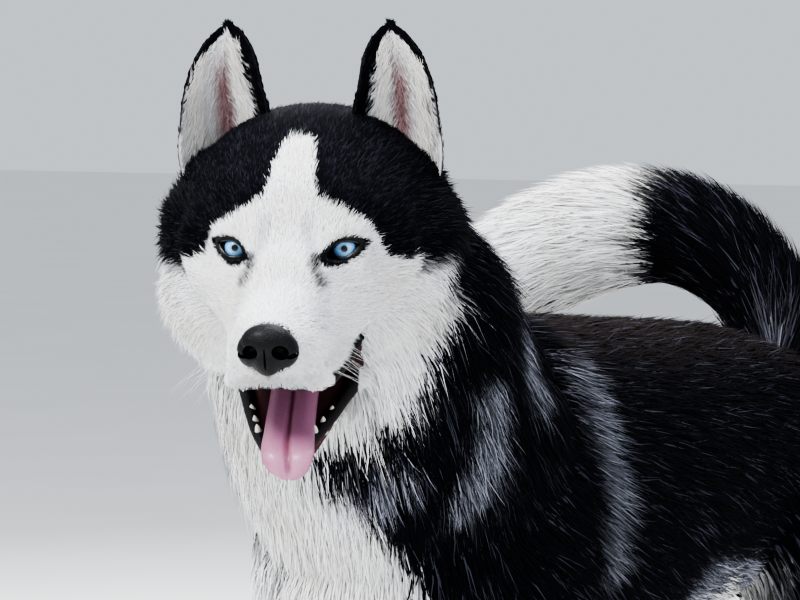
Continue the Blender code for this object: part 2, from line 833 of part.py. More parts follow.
def claws(leg):
    """One bent claw for each toe of a paw."""
    pair, side = leg.split("_")
    x, y = PAW_MIDDLE[pair]
    made = []
    for k, (across, ahead) in enumerate(zip(TOE_ACROSS, TOE_AHEAD)):
        middle = (x * SIDES[side] + across * SIDES[side], y + STEP[leg] + ahead)
        rows = [(middle[0], middle[1] - far, 10 + up, radius, radius, radius) for far, up, radius in CLAW]
        made.append(tube(f"claw_{leg}_{k + 1}", rows, sides=5, steps=1))
    return made


def floor_cut(target):
    """Cuts a paw flat at the floor."""
    size = FLOOR_BLOCK * MM
    corner = target.data.vertices[0].co
    bm = bmesh.new()
    bmesh.ops.create_cube(bm, size=size, matrix=Matrix.Translation((corner.x, corner.y, -size / 2)))
    boolean(target, [put(bm, "under_floor")], "DIFFERENCE")


def core(piece):
    """A piece's surface, to seat locks on."""
    points = [tuple(vertex.co) for vertex in piece.data.vertices]
    return BVHTree.FromPolygons(points, [tuple(face.vertices) for face in piece.data.polygons])


def lock(tree, centre, out, lie, size, rng):
    """A flat tapered lock that leaves the core on the ray out of centre and follows it along the lie."""
    reach = 300 * MM
    root = tree.ray_cast(centre + out * reach, -out)[0]
    if root is None:
        return None
    length, width, rise = (value * MM * rng.uniform(0.86, 1.16) for value in size)
    skin = tree.find_nearest(root)[1]
    lie = lie + Vector([rng.uniform(-0.12, 0.12) for _ in range(3)])
    lie = (lie - skin * lie.dot(skin)).normalized()
    bm = bmesh.new()
    rings = []
    for share, wide, height in LOCK_RINGS:
        near, normal, _, _ = tree.find_nearest(root + lie * length * share)
        middle = near + normal * (rise * height if height else -LOCK_SINK * MM)
        across = lie.cross(normal).normalized()
        if not wide:
            rings.append([bm.verts.new(middle)])
            continue
        flat, ridge = across * width * wide, normal * width * wide * LOCK_RIDGE
        rings.append([bm.verts.new(middle + step) for step in (flat, ridge, -flat)])
    for a, b in zip(rings, rings[1:]):
        for k in range(3):
            n = (k + 1) % 3
            if len(b) == 1:
                bm.faces.new((a[k], a[n], b[0]))
            else:
                bm.faces.new((a[k], a[n], b[k]))
                bm.faces.new((a[n], b[n], b[k]))
    bm.faces.new(rings[0])
    return put(bm, "lock")


def path_point(rows, place):
    """A point and the direction along a tube's middle, place counted in rows."""
    fine = between([row[:3] for row in rows], 10)
    i = min(max(round(place * 10), 1), len(fine) - 2)
    ahead, behind = Vector(fine[i + 1]) * MM, Vector(fine[i - 1]) * MM
    return Vector(fine[i]) * MM, (ahead - behind).normalized()


def locks_round(tree, rows, places, table, way, sag, rng):
    """Rows of locks all round a tube, each row turned by half a step from the one before."""
    made = []
    for place in places:
        middle, along = path_point(rows, place)
        side = along.orthogonal().normalized()
        turn = 0.5 * (table["rows"].index(place) % 2)
        for k in range(table["around"]):
            out = Matrix.Rotation(2 * math.pi * (k + turn) / table["around"], 3, along) @ side
            made.append(lock(tree, middle, out, along * way + sag, table["size"], rng))
    return made


def tail_locks(name, tree, rng):
    first, last = TAIL_SPANS[name]
    places = [place for place in TAIL_LOCKS["rows"] if first <= place < last]
    return locks_round(tree, TAIL, places, TAIL_LOCKS, 1, Vector(), rng)


def neck_locks(name, tree, rng):
    return locks_round(tree, NECK, NECK_LOCKS["rows"], NECK_LOCKS, -1, Vector((0, 0, -0.6)), rng)


def cheek_locks(name, tree, rng):
    """The ruff's front edge, on both cheeks."""
    made = []
    turn = HEAD.to_3x3()
    for row, y in enumerate(CHEEK_LOCKS["rows"]):
        centre = HEAD @ (Vector((0, y, -20)) * MM)
        for side in SIDES.values():
            lie = turn @ Vector((0.5 * side, 0.75, -0.55))
            for angle in CHEEK_LOCKS["angles"]:
                angle = math.radians(angle - 9 * row)
                out = turn @ Vector((math.cos(angle) * side, 0, math.sin(angle)))
                made.append(lock(tree, centre, out, lie, CHEEK_LOCKS["size"], rng))
    return made


def chest_locks(name, tree, rng):
    made = []
    for row, rise in enumerate(CHEST_LOCKS["rises"]):
        for angle in CHEST_LOCKS["angles"]:
            angle = math.radians(angle + (row % 2) * 16)
            out = Vector((math.sin(angle), -math.cos(angle), math.tan(math.radians(rise)))).normalized()
            lie = Vector((0.25 * math.sin(angle), 0.1, -1))
            made.append(lock(tree, Vector((0, -235, 425)) * MM, out, lie, CHEST_LOCKS["size"], rng))
    return made


def breeches_locks(name, tree, rng):
    """The long hair behind the thighs."""
    made = []
    for side in SIDES.values():
        for row, z in enumerate(BREECHES_LOCKS["heights"]):
            for angle in BREECHES_LOCKS["angles"]:
                angle = math.radians(angle + 10 * (row % 2))
                out = Vector((math.sin(angle) * side, math.cos(angle), 0))
                centre = Vector((62 * side, 214, z)) * MM
                made.append(lock(tree, centre, out, Vector((0, 0.25, -1)), BREECHES_LOCKS["size"], rng))
    return made


def feather_locks(name, tree, rng):
    """The short fringe behind the elbow."""
    leg = name.replace("foreleg", "fore")
    made = []
    for z in FEATHER_LOCKS["heights"]:
        x, y, *_ = leg_rows([(80, -185, z)], leg)[0]
        centre = Vector((x, y, z)) * MM
        made.append(lock(tree, centre, Vector((0, 1, 0)), Vector((0, 0, -1)), FEATHER_LOCKS["size"], rng))
    return made


# What lays the locks of each piece, in the order in which they are laid
LOCK_MAKERS = {
    "head": cheek_locks,
    "neck": neck_locks,
    "torso_front": chest_locks,
    "torso_rear": breeches_locks,
    "tail_root": tail_locks,
    "tail_middle": tail_locks,
    "tail_end": tail_locks,
    "foreleg_left": feather_locks,
    "foreleg_right": feather_locks,
}


def loosen(target):
    """Draws corners that stand at one place apart, each a little way into its own faces."""
    bm = bmesh.new()
    bm.from_mesh(target.data)
    found = bmesh.ops.find_doubles(bm, verts=bm.verts, dist=TOUCH)["targetmap"]
    moves = {}
    for corner in {vertex for pair in found.items() for vertex in pair}:
        ring = [edge.other_vert(corner).co for edge in corner.link_edges]
        way = sum(ring, Vector()) / len(ring) - corner.co
        moves[corner] = way * min(0.3, LOOSE / max(way.length, TOUCH))
    for corner, move in moves.items():
        corner.co += move
    bm.to_mesh(target.data)
    bm.free()


def clear_of(piece, others):
    """Cuts a piece clear of its neighbours."""
    boolean(piece, [inflated(other) for other in others], "DIFFERENCE")
    keep_largest(piece)


def coat(pieces):
    """Gives each piece its locks and cuts it clear of its neighbours."""
    for name, make in LOCK_MAKERS.items():
        piece = pieces[name]
        made = make(name, core(piece), random.Random(OTHER_SEEDS.get(name, LOCK_SEED)))
        boolean(piece, [one for one in made if one], "UNION")
        clear_of(piece, [pieces[other] for other in NEIGHBOURS[name]])
        loosen(piece)


def finish(name, colour):
    red, green, blue, roughness = colour
    material = bpy.data.materials.new(name)
    material.use_nodes = True
    shader = material.node_tree.nodes["Principled BSDF"]
    shader.inputs["Base Color"].default_value = (red, green, blue, 1)
    shader.inputs["Roughness"].default_value = roughness
    shader.inputs["Metallic"].default_value = 0
    material.diffuse_color = (red, green, blue, 1)
    return material


def colour_of(name):
    """The main colour of each piece."""
    for start, colour in COLOURS:
        if name.startswith(start):
            return colour
    return WHITE_COAT


def settle():
    """Moves the model so that the middle of its base is the origin, and gives each piece its material."""
    points = [vertex.co for piece in PART.objects for vertex in piece.data.vertices]
    low = [min(point[k] for point in points) for k in range(3)]
    high = [max(point[k] for point in points) for k in range(3)]
    move = Matrix.Translation((-(low[0] + high[0]) / 2, -(low[1] + high[1]) / 2, -low[2]))
    for piece in PART.objects:
        piece.data.transform(move)
        piece.data.materials.clear()
        piece.data.materials.append(finish(piece.name, colour_of(piece.name)))


def main():
    whole = joined(flesh(), "whole")
    fuse(whole, VOXEL, SMOOTH_STEPS, softness)
    sculpt(whole)
    thin_out(whole)
    pieces = part_whole(whole)
    head, jaw = pieces["head"], pieces["lower_jaw"]
    lids(head)
    boolean(head, teeth(UPPER_TEETH, HEAD, -1), "UNION")
    boolean(jaw, teeth(LOWER_TEETH, JAW_AT, 1), "UNION")
    clear_of(head, [nose(), tongue()])
    clear_of(jaw, [bpy.data.objects["tongue"]])
    for leg in STEP:
        pair, side = leg.split("_")
        paw = pieces[f"forepaw_{side}" if pair == "fore" else f"hindfoot_{side}"]
        floor_cut(paw)
        clear_of(paw, claws(leg))
    coat(pieces)
    for side in SIDES.values():
        clear_of(ear(side), [head, pieces["neck"]])
    settle()


clear_scene()
PART = collection("siberian_husky")
HEAD = head_place()
HEAD_BACK = HEAD.inverted()
JAW_AT = jaw_place()
FULL_HEIGHT = {"fore": max(row[2] for row in FORELEG), "hind": max(row[2] for row in HIND_LEG)}
main()
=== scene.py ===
"""A standing Siberian husky with its head turned to its left: skin, eyes, mouth and a coat of solid tufts.

The tables are in millimetres on a dog 585 mm at the withers, as in the part's own source. The eyes of the
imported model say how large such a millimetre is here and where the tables' origin lies. The dog faces -Y,
its left side is +X, and the floor is at z = 0.
"""

import math

import bmesh
import bpy
import numpy as np
from mathutils import Euler, Matrix, Vector
from mathutils.kdtree import KDTree


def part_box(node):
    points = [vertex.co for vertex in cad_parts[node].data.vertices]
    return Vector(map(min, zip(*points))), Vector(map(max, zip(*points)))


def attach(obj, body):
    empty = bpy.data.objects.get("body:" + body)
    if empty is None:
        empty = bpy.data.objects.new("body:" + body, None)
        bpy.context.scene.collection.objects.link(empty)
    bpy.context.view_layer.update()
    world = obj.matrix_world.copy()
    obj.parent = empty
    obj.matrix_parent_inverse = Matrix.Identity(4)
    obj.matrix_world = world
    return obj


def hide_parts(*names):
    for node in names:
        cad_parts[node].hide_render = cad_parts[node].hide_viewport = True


SIDES = {"left": 1, "right": -1}

# The pose of the head, whose own frame has its origin midway between the eyes
EYES_AT = (50, -420, 640)
HEAD_YAW = math.radians(25.8)
HEAD_PITCH = math.radians(9)
JAW_OPEN = math.radians(23)
JAW_HINGE = (0, 55, -45)
STEP = {"fore_left": -14, "fore_right": 16, "hind_left": 18, "hind_right": -24}

# Torso rings from chest to buttocks: y, z of the middle, half width, up, down
TORSO = (
    (-324, 428, 12, 24, 18),
    (-310, 426, 56, 88, 66),
    (-288, 426, 86, 114, 96),
    (-245, 430, 105, 128, 128),
    (-180, 434, 118, 149, 156),
    (-100, 434, 122, 147, 160),
    (0, 436, 120, 138, 148),
    (90, 442, 111, 126, 126),
    (170, 448, 105, 112, 108),
    (240, 448, 103, 94, 102),
    (296, 436, 86, 64, 82),
    (330, 426, 54, 38, 52),
    (344, 424, 14, 12, 14),
)
# Neck rings from the shoulders to the skull: x, y, z, half width, throat side, nape side
NECK = (
    (0, -150, 425, 84, 92, 90),
    (1, -195, 466, 108, 130, 110),
    (4, -240, 514, 108, 122, 104),
    (10, -284, 564, 104, 100, 98),
    (18, -322, 612, 98, 88, 88),
    (24, -346, 650, 76, 66, 66),
)
# Foreleg rings from shoulder to pastern: x, y, z, half width, behind, before
FORELEG = (
    (58, -200, 486, 26, 46, 46),
    (70, -192, 430, 46, 72, 70),
    (82, -186, 345, 44, 62, 58),
    (83, -179, 282, 37, 47, 42),
    (80, -182, 222, 30, 35, 33),
    (77, -187, 158, 26, 28.5, 28),
    (76, -189, 126, 27, 28, 29),
    (75, -192, 90, 24, 25, 25),
    (74, -202, 54, 26, 28, 28),
    (74, -210, 30, 26, 27, 27),
    (74, -214, 14, 20, 22, 22),
)
# Hind leg rings from hip to pastern
HIND_LEG = (
    (46, 232, 505, 24, 40, 40),
    (60, 226, 462, 50, 80, 72),
    (74, 214, 395, 54, 92, 86),
    (84, 198, 322, 47, 76, 64),
    (86, 220, 260, 37, 50, 46),
    (84, 264, 200, 28, 35, 34),
    (83, 300, 156, 24, 30, 28),
    (82, 306, 106, 21, 24, 23),
    (81, 299, 62, 23, 25, 25),
    (80, 292, 32, 25, 27, 26),
    (80, 290, 14, 20, 22, 22),
)
# Tail rings from root to tip, without the plume: x, y, z, radius
TAIL = (
    (0, 296, 462, 34),
    (-2, 320, 498, 33),
    (-20, 330, 554, 33),
    (-54, 314, 601, 37),
    (-96, 290, 622, 41),
    (-145, 260, 619, 43),
    (-190, 224, 598, 40),
    (-214, 194, 570, 32),
    (-223, 178, 546, 15),
)
# Skull and upper muzzle rings from the nose back, in the head's frame: y, z, half width, up, down
SKULL = (
    (-102, -50, 8, 8, 10),
    (-98, -50, 19, 16, 18),
    (-88, -50, 27, 23, 25),
    (-70, -48, 32.5, 29, 30),
    (-50, -44.5, 37, 34, 33),
    (-32, -37.5, 45, 42, 38),
    (-15, -28, 58, 45, 44),
    (3, -18, 73, 60, 56),
    (24, -8, 84, 76, 70),
    (50, -4, 91, 88, 80),
    (78, -6, 92, 91, 84),
    (104, -10, 80, 82, 78),
    (122, -12, 50, 52, 50),
)
# Lower jaw rings with the mouth shut, in the head's frame
JAW = (
    (-86, -75, 5, 3, 4),
    (-82, -75, 13, 6, 8),
    (-70, -76, 19.5, 8, 13),
    (-48, -77, 24, 9, 17),
    (-22, -75, 30, 11, 23),
    (6, -70, 40, 16, 30),
    (36, -64, 50, 22, 36),
    (62, -56, 50, 24, 34),
)
# Soft masses that fill out the tubes, in the head's frame: middle, radii, both sides of the head
MASSES = (
    ((40, 62, -34), (52, 62, 60)),
    ((26, -8, 19), (15, 12, 9)),
    ((17, -78, -64), (15, 17, 13)),
    ((66, 66, 34), (24, 22, 24)),
)
# The fused skin: the size of its first faces, its rounds of smoothing, and the share of its faces that the
# body keeps behind the head and above the feet
SKIN_VOXEL = 2.6
SKIN_STEPS = 62
BODY_SHARE = 0.34
BEHIND_HEAD = 60
ABOVE_FEET = 80
# Small moves of the fused skin, in the head's frame: middle, reach, move, both sides of the head
DABS = (
    ((38, -24, 3), 17, (-2, 5, 0)),
    ((57, -12, 1), 22, (-6, 6, 0)),
    ((36, -45, -16), 20, (-4, 0, -1)),
)
# The edges of the lips as thin tubes, from the corner of the mouth to the front: x, y, z, radius
UPPER_LIP = (
    (43, -8, -56, 6),
    (39, -30, -64.5, 5.5),
    (35, -52, -71, 5),
    (30, -72, -73, 5),
    (17, -86, -70.5, 5),
    (4, -92, -67, 4),
)
LOWER_LIP = (
    (42, -4, -62, 6),
    (33, -30, -66, 5),
    (25, -54, -69, 4.5),
    (16, -74, -70, 4),
    (6, -83, -72, 3.5),
)
EYE_MIDDLE = (36, -13, 4.5)
EYE_RADIUS = 11.0
EYE_OUT = math.radians(9)
EYE_UP = math.radians(6)
LID_THICK = 2.4
LID_SLANT = math.radians(18)
LID_OPENING = (10.2, 5.9)
SOCKET_GAP = 0.5
# The two ends of the cut that opens the lids: how much wider it is there, and how far along the gaze
LID_CUT = ((1.0, -3), (1.3, -26))
# The lids' black rim: how much wider than their opening, how far off the eyeball, and its radius
LID_RIM = (1.03, 1.6, 1.25)
PUPIL = 2.1
IRIS = 7.5
CORNEA = 0.9

# Nose leather blobs, in the head's frame: middle and radii; then the hollows cut in them, as ellipsoids
NOSE_BLOBS = (
    ((0, -101, -40), (17.5, 11, 12.5)),
    ((0, -102, -47.5), (11, 8.5, 14.5)),
    ((10.5, -99, -45.5), (10, 9, 11.5)),
    ((-10.5, -99, -45.5), (10, 9, 11.5)),
)
NOSTRIL = ((10, -109, -45), (5.6, 8, 4.8), 0.5)
NOSE_SLIT = ((16, -102, -48), (6, 5.5, 2.0), -0.25)
NOSE_GROOVE = ((0, -115, -53), (0.9, 7, 13))
# Tongue rings over the lower jaw to the hanging tip: x, y, z, half width, half thickness above, below
TONGUE = (
    (0, 10, -76, 14, 4, 7),
    (0, -10, -89, 16, 4, 7),
    (1, -32, -102, 16.5, 4, 6),
    (3, -54, -112, 17, 4, 5),
    (5, -70, -117, 17.5, 3.5, 4),
    (7, -80, -122, 17, 3, 3),
    (8, -84, -130, 13, 2.5, 2.5),
    (8, -84, -135, 6, 2, 2),
)
# How deep the tongue's groove is, and how high its edges stand
TONGUE_GROOVE = 3.0
TONGUE_EDGES = 1.0
# Teeth of the lower jaw in its shut frame, and of the upper: x, y, z of the root, radius, height
LOWER_TEETH = (
    (18.5, -65, -70, 3.2, 9),
    (10.5, -74, -71, 2.4, 9),
    (3.6, -77, -71, 2.4, 9),
    (22, -54, -71, 3.2, 9),
    (26, -42, -71, 3.6, 9),
)
UPPER_TEETH = ((22, -70, -66, 4.0, 14),)
TOOTH_ROOT = 5
# Whisker rows on the upper lip: y and z of the first, and how many; then their shortest and longest, the
# radii of root and tip, and half the muzzle's width along it
WHISKER_ROWS = ((-72, -52, 5), (-66, -58, 5), (-58, -48, 4), (-76, -60, 3))
WHISKER_LENGTH = (34, 58)
WHISKER_RADII = (0.12, 0.03)
MUZZLE_HALF = ((-90, -70, -50, -32), (22, 29, 34, 41))

# Each ear's edges from base to tip, in the head's frame on the dog's left, with the tip between them
EAR_INNER = ((27, 68, 58), (30, 70, 86), (38, 68, 112), (47, 70, 129), (54, 73, 140))
EAR_OUTER = ((88, 63, 33), (91, 61, 58), (85, 63, 92), (72, 69, 123), (58, 73, 140))
EAR_CUP = 22

TOE_ACROSS = (-23, -8, 8, 23)
TOE_AHEAD = (-21, -32, -32, -21)
TOE_RADII = (11, 18, 14)
PAW_MIDDLE = {"fore": (74, -221), "hind": (80, 281)}
# Claw rings ahead of each toe's middle: ahead, up, radius
CLAW = ((9, 6, 3.4), (20, 3, 2.8), (27, -4, 1.0))

# The photograph's view: the eyes' midpoint in the picture, the scale there, and the camera's bearing
PICTURE = (800, 600)
EYES_IN_PICTURE = (295, 250)
PIXELS_PER_METRE = 1500
HORIZON_ROW = 70
VIEW_BEARING = math.radians(37)
VIEW_DISTANCE = 2.6


def middle_of(node):
    low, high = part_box(node)
    return (Vector(low) + Vector(high)) / 2


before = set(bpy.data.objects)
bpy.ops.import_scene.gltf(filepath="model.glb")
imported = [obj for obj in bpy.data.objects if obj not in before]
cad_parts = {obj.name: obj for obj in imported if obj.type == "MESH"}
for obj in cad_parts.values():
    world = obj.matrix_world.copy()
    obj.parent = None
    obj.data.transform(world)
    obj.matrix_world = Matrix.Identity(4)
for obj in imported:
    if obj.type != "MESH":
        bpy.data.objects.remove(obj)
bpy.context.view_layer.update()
LEFT_EYE, RIGHT_EYE = middle_of("eye_left"), middle_of("eye_right")
MM = (LEFT_EYE - RIGHT_EYE).length / (2 * EYE_MIDDLE[0])
HEAD_TURN = Matrix.Rotation(HEAD_YAW, 4, "Z") @ Matrix.Rotation(HEAD_PITCH, 4, "X")
EYES = (LEFT_EYE + RIGHT_EYE) / 2 - HEAD_TURN @ (Vector((0, *EYE_MIDDLE[1:])) * MM)
HEAD = Matrix.Translation(EYES) @ HEAD_TURN
BODY = Matrix.Translation(EYES - Vector(EYES_AT) * MM)
HINGE = Matrix.Translation(Vector(JAW_HINGE) * MM)
JAW_AT = HEAD @ HINGE @ Matrix.Rotation(JAW_OPEN, 4, "X") @ HINGE.inverted()
CHANCE = np.random.default_rng(20)


def local(points, place):
    """Points in a frame's own millimetres."""
    back = np.array(place.inverted())
    return (points @ back[:3, :3].T + back[:3, 3]) / MM


def placed(spots, place):
    """Points given in a frame's millimetres, as points of the scene."""
    there = np.array(place)
    return spots * MM @ there[:3, :3].T + there[:3, 3]


def turned(vectors, place):
    """Directions of a frame as directions of the scene."""
    return vectors @ np.array(place)[:3, :3].T


def unit(vectors):
    return vectors / np.maximum(np.linalg.norm(vectors, axis=-1, keepdims=True), 1e-9)


def put(bm, name):
    """A new object from a bmesh with its faces turned out."""
    bmesh.ops.recalc_face_normals(bm, faces=bm.faces)
    mesh = bpy.data.meshes.new(name)
    bm.to_mesh(mesh)
    bm.free()
    made = bpy.data.objects.new(name, mesh)
    bpy.context.scene.collection.objects.link(made)
    return made


def remove(objects):
    for gone in objects:
        bpy.data.objects.remove(gone, do_unlink=True)


def bake_modifiers(target):
    """Replaces the object's mesh with what its modifiers make of it."""
    graph = bpy.context.evaluated_depsgraph_get()
    mesh = bpy.data.meshes.new_from_object(target.evaluated_get(graph))
    target.modifiers.clear()
    target.data = mesh


def between(rows, steps):
    """The rows with smooth Catmull-Rom rows between them."""
    made = []
    last = len(rows) - 1
    for i in range(last):
        p0, p1, p2, p3 = (rows[k] for k in (max(i - 1, 0), i, i + 1, min(i + 2, last)))
        for k in range(steps):
            t = k / steps
            row = []
            for a, b, c, d in zip(p0, p1, p2, p3):
                bend, twist = 2 * a - 5 * b + 4 * c - d, 3 * b - a - 3 * c + d
                row.append(0.5 * (2 * b + (c - a) * t + bend * t * t + twist * t**3))
            made.append(row)
    made.append(list(rows[last]))
    return made


def loft(name, rings, closed=False):
    """A mesh through rings of points, with capped ends unless it runs back into itself."""
    bm = bmesh.new()
    rings = [[bm.verts.new(point) for point in ring] for ring in rings]
    for ring, other in zip(rings, rings[1:] + rings[:1] if closed else rings[1:]):
        bridge(bm, ring, other)
    if not closed:
        bm.faces.new(rings[0])
        bm.faces.new(rings[-1])
    return put(bm, name)


def bridge(bm, ring, other):
    """Faces from one ring of vertices to another."""
    for k in range(len(ring)):
        n = (k + 1) % len(ring)
        bm.faces.new((ring[k], ring[n], other[n], other[k]))


def tube(name, rows, place, sides=28, steps=4, power=2.0, lateral=(1, 0, 0)):
    """A closed loft through rings of x, y, z, half width, reach on one side, reach on the other."""
    rows = between(rows, steps)
    middles = [Vector(row[:3]) * MM for row in rows]
    last = len(rows) - 1
    rings = []
    for i, row in enumerate(rows):
        along = (middles[min(i + 1, last)] - middles[max(i - 1, 0)]).normalized()
        side = Vector(lateral)
        side = (side - along * side.dot(along)).normalized()
        up = side.cross(along)
        width, above, below = (size * MM for size in row[3:6])
        ring = []
        for k in range(sides):
            c, s = math.cos(2 * math.pi * k / sides), math.sin(2 * math.pi * k / sides)
            across = math.copysign(abs(c) ** (2 / power), c) * width
            rise = math.copysign(abs(s) ** (2 / power), s) * (above if s > 0 else below)
            ring.append(place @ (middles[i] + side * across + up * rise))
        rings.append(ring)
    return loft(name, rings)


def blob(name, middle, radii, place, detail=4):
    """An ellipsoid."""
    bm = bmesh.new()
    shape = Matrix.Translation(Vector(middle) * MM) @ Matrix.Diagonal((*(r * MM for r in radii), 1))
    bmesh.ops.create_icosphere(bm, subdivisions=detail, radius=1, matrix=place @ shape)
    return put(bm, name)


def joined(pieces, name):
    """The pieces' meshes as one object, still crossing each other."""
    bm = bmesh.new()
    for piece in pieces:
        bm.from_mesh(piece.data)
    remove(pieces)
    return put(bm, name)


def middle_rows(rows):
    """Rings of y, z, half width, up, down as rings on the plane of symmetry."""
    return [(0, *row) for row in rows]


def round_rows(rows):
    """Rings of x, y, z, radius as rings with the same reach all round."""
    return [(*row[:3], row[3], row[3], row[3]) for row in rows]


def leg_rows(leg):
    """A leg's rings on its own side, with its paw stepped along the body."""
    pair, side = leg.split("_")
    rows = FORELEG if pair == "fore" else HIND_LEG
    top = rows[0][2]
    return [(row[0] * SIDES[side], row[1] + STEP[leg] * (1 - row[2] / top), *row[2:]) for row in rows]


def paw_blobs(leg):
    """The pad, the knuckles and four toes."""
    pair, side = leg.split("_")
    x, y = PAW_MIDDLE[pair]
    x *= SIDES[side]
    y += STEP[leg]
    made = [
        blob("knuckles", (x, y - 5, 20), (31, 35, 22), BODY),
        blob("pad", (x, y + 14, 11), (22, 22, 13), BODY),
    ]
    for across, ahead in zip(TOE_ACROSS, TOE_AHEAD):
        made.append(blob("toe", (x + across, y + ahead, 12), TOE_RADII, BODY))
    return made


def flesh():
    """Every tube and mass of the whole animal, still apart."""
    pieces = [
        tube("torso", middle_rows(TORSO), BODY, sides=48),
        tube("neck", NECK, BODY, sides=48),
        tube("skull", middle_rows(SKULL), HEAD, sides=56, steps=6, power=2.15),
        tube("jaw", middle_rows(JAW), JAW_AT, sides=40, power=2.3),
        tube("tail", round_rows(TAIL), BODY, lateral=(0.6, -0.8, 0)),
    ]
    for (x, y, z), radii in MASSES:
        pieces += [blob("mass", (x * side, y, z), radii, HEAD) for side in SIDES.values()]
    for rows, place in ((UPPER_LIP, HEAD), (LOWER_LIP, JAW_AT)):
        for side in SIDES.values():
            one_side = [(x * side, y, z, radius) for x, y, z, radius in rows]
            pieces.append(tube("lip", round_rows(one_side), place, sides=16))
    for leg in STEP:
        pieces.append(tube(leg, leg_rows(leg), BODY))
        pieces += paw_blobs(leg)
    return pieces


def softness(point):
    """Full smoothing on the body, less on the head, least on the toes."""
    if point.z < 60 * MM:
        return 0.08
    spot = HEAD.inverted() @ point / MM
    if spot.z < -150 or spot.y > 60:
        return 1.0
    return 0.14 if spot.y < 12 else 0.5


def fuse(target, voxel, steps, weight=None):
    """One closed skin from crossing closed meshes, smoothed by weight(point) where that is given."""
    remesh = target.modifiers.new("remesh", "REMESH")
    remesh.mode = "VOXEL"
    remesh.voxel_size = voxel * MM
    bake_modifiers(target)
    smooth = target.modifiers.new("smooth", "SMOOTH")
    smooth.factor = 0.5
    smooth.iterations = steps
    if weight:
        group = target.vertex_groups.new(name="smooth")
        for vertex in target.data.vertices:
            group.add([vertex.index], weight(vertex.co), "REPLACE")
        smooth.vertex_group = group.name
    bake_modifiers(target)
    target.vertex_groups.clear()


def thin_out(target, ratio, chosen):
    """Fewer faces for the same shape at the chosen points."""
    group = target.vertex_groups.new(name="thin")
    group.add(np.flatnonzero(chosen).tolist(), 1.0, "REPLACE")
    thin = target.modifiers.new("thin", "DECIMATE")
    thin.ratio = ratio
    thin.vertex_group = group.name
    thin.vertex_group_factor = 1000.0
    thin.use_collapse_triangulate = True
    bake_modifiers(target)
    target.vertex_groups.clear()


def read(rows, name, width, kind=float):
    """One property of every row of a mesh's data, as an array."""
    found = np.empty(len(rows) * width, kind)
    rows.foreach_get(name, found)
    return found.reshape(-1, width)


def points_of(target):
    return read(target.data.vertices, "co", 3)


def normals_of(target):
    return read(target.data.vertex_normals, "vector", 3)


def move_points(target, points):
    target.data.vertices.foreach_set("co", np.ascontiguousarray(points, np.float32).ravel())
    target.data.update()


def triangles_of(target):
    target.data.calc_loop_triangles()
    return read(target.data.loop_triangles, "vertices", 3, np.int32)


def boolean(target, others, operation):
    """Joins or cuts the target with the other objects, which are removed."""
    group = bpy.data.collections.new("cutters")
    bpy.context.scene.collection.children.link(group)
    for other in others:
        for home in list(other.users_collection):
            home.objects.unlink(other)
        group.objects.link(other)
    change = target.modifiers.new("change", "BOOLEAN")
    change.operation = operation
    change.solver = "MANIFOLD"
    change.operand_type = "COLLECTION"
    change.collection = group
    bake_modifiers(target)
    remove(others)
    bpy.data.collections.remove(group)


def sculpt(target):
    """Moves the skin of the head by the dabs, each fading out over its reach."""
    spots = local(points_of(target), HEAD)
    for middle, reach, move in DABS:
        for side in SIDES.values():
            way = np.array((side, 1, 1))
            far = np.linalg.norm(spots - np.array(middle) * way, axis=1) / reach
            share = np.where(far < 1, (1 - far * far) ** 2, 0)[:, None]
            spots = spots + np.array(move) * way * share
    move_points(target, placed(spots, HEAD))


# How the coat grows on each part of the body, in millimetres: how deep the skin lies under the solid's
# surface, and each tuft's length, width and how far its tip stands off the skin
GROWTH = {
    "torso": (12, 44, 1.25, 13),
    "neck": (10, 50, 0.9, 17),
    "skull": (5, 14, 0.7, 5),
    "jaw": (3, 10, 0.7, 3.5),
    "fore": (8, 24, 1.3, 9),
    "hind": (9, 28, 1.4, 10),
    "tail": (11, 60, 1.35, 22),
}
# Tufts to a square millimetre
DENSITY = {"torso": 0.29, "neck": 0.95, "skull": 0.85, "jaw": 0.9, "fore": 0.17, "hind": 0.16, "tail": 0.72}
NOSE_TIP = (0, -100, -35)
PARTS = ("torso", "neck", "skull", "jaw", "fore_left", "fore_right", "hind_left", "hind_right", "tail")
# The parts' columns in the tables that have one for each part
TRUNK, COLLAR, SKULL_PART, TAIL_PART = 0, 1, 2, 8
HEAD_PARTS, LEG_PARTS, FORE_PARTS, HIND_PARTS = slice(2, 4), slice(4, 8), slice(4, 6), slice(6, 8)


def spine(part):
    """Points along the middle of a part, with the radius and the direction there, in the scene's metres."""
    rows, place = {
        "torso": (middle_rows(TORSO), BODY),
        "neck": (NECK, BODY),
        "skull": (middle_rows(SKULL), HEAD),
        "jaw": (middle_rows(JAW), JAW_AT),
        "tail": (round_rows(TAIL), BODY),
    }.get(part) or (leg_rows(part), BODY)
    fine = np.array(between(rows, 6))
    middles = placed(fine[:, :3], place)
    return middles, fine[:, 3:6].mean(axis=1) * MM, unit(np.gradient(middles, axis=0))


SPINES = {part: spine(part) for part in PARTS}


def nearness(points):
    """How far each point is from each part's surface, which way that part runs there, and how far along."""
    depth, ways, along = [], [], []
    for part in PARTS:
        middles, radii, directions = SPINES[part]
        squares = (points**2).sum(1)[:, None] + (middles**2).sum(1) - 2 * points @ middles.T
        far = np.sqrt(np.maximum(squares, 0)) - radii
        nearest = far.argmin(axis=1)
        depth.append(far[np.arange(len(points)), nearest])
        ways.append(directions[nearest])
        along.append(nearest / (len(middles) - 1))
    return np.array(depth).T / MM, np.stack(ways, axis=1), np.array(along).T


# How far, in millimetres, one part's coat runs into the next part's: its looks, and the way it lies
PART_BLUR = 7.0
LIE_BLUR = 14


def shares(depth, blur=PART_BLUR):
    """How much each point belongs to each part."""
    closeness = np.exp(-(depth - depth.min(axis=1, keepdims=True)) / blur)
    return closeness / closeness.sum(axis=1, keepdims=True)


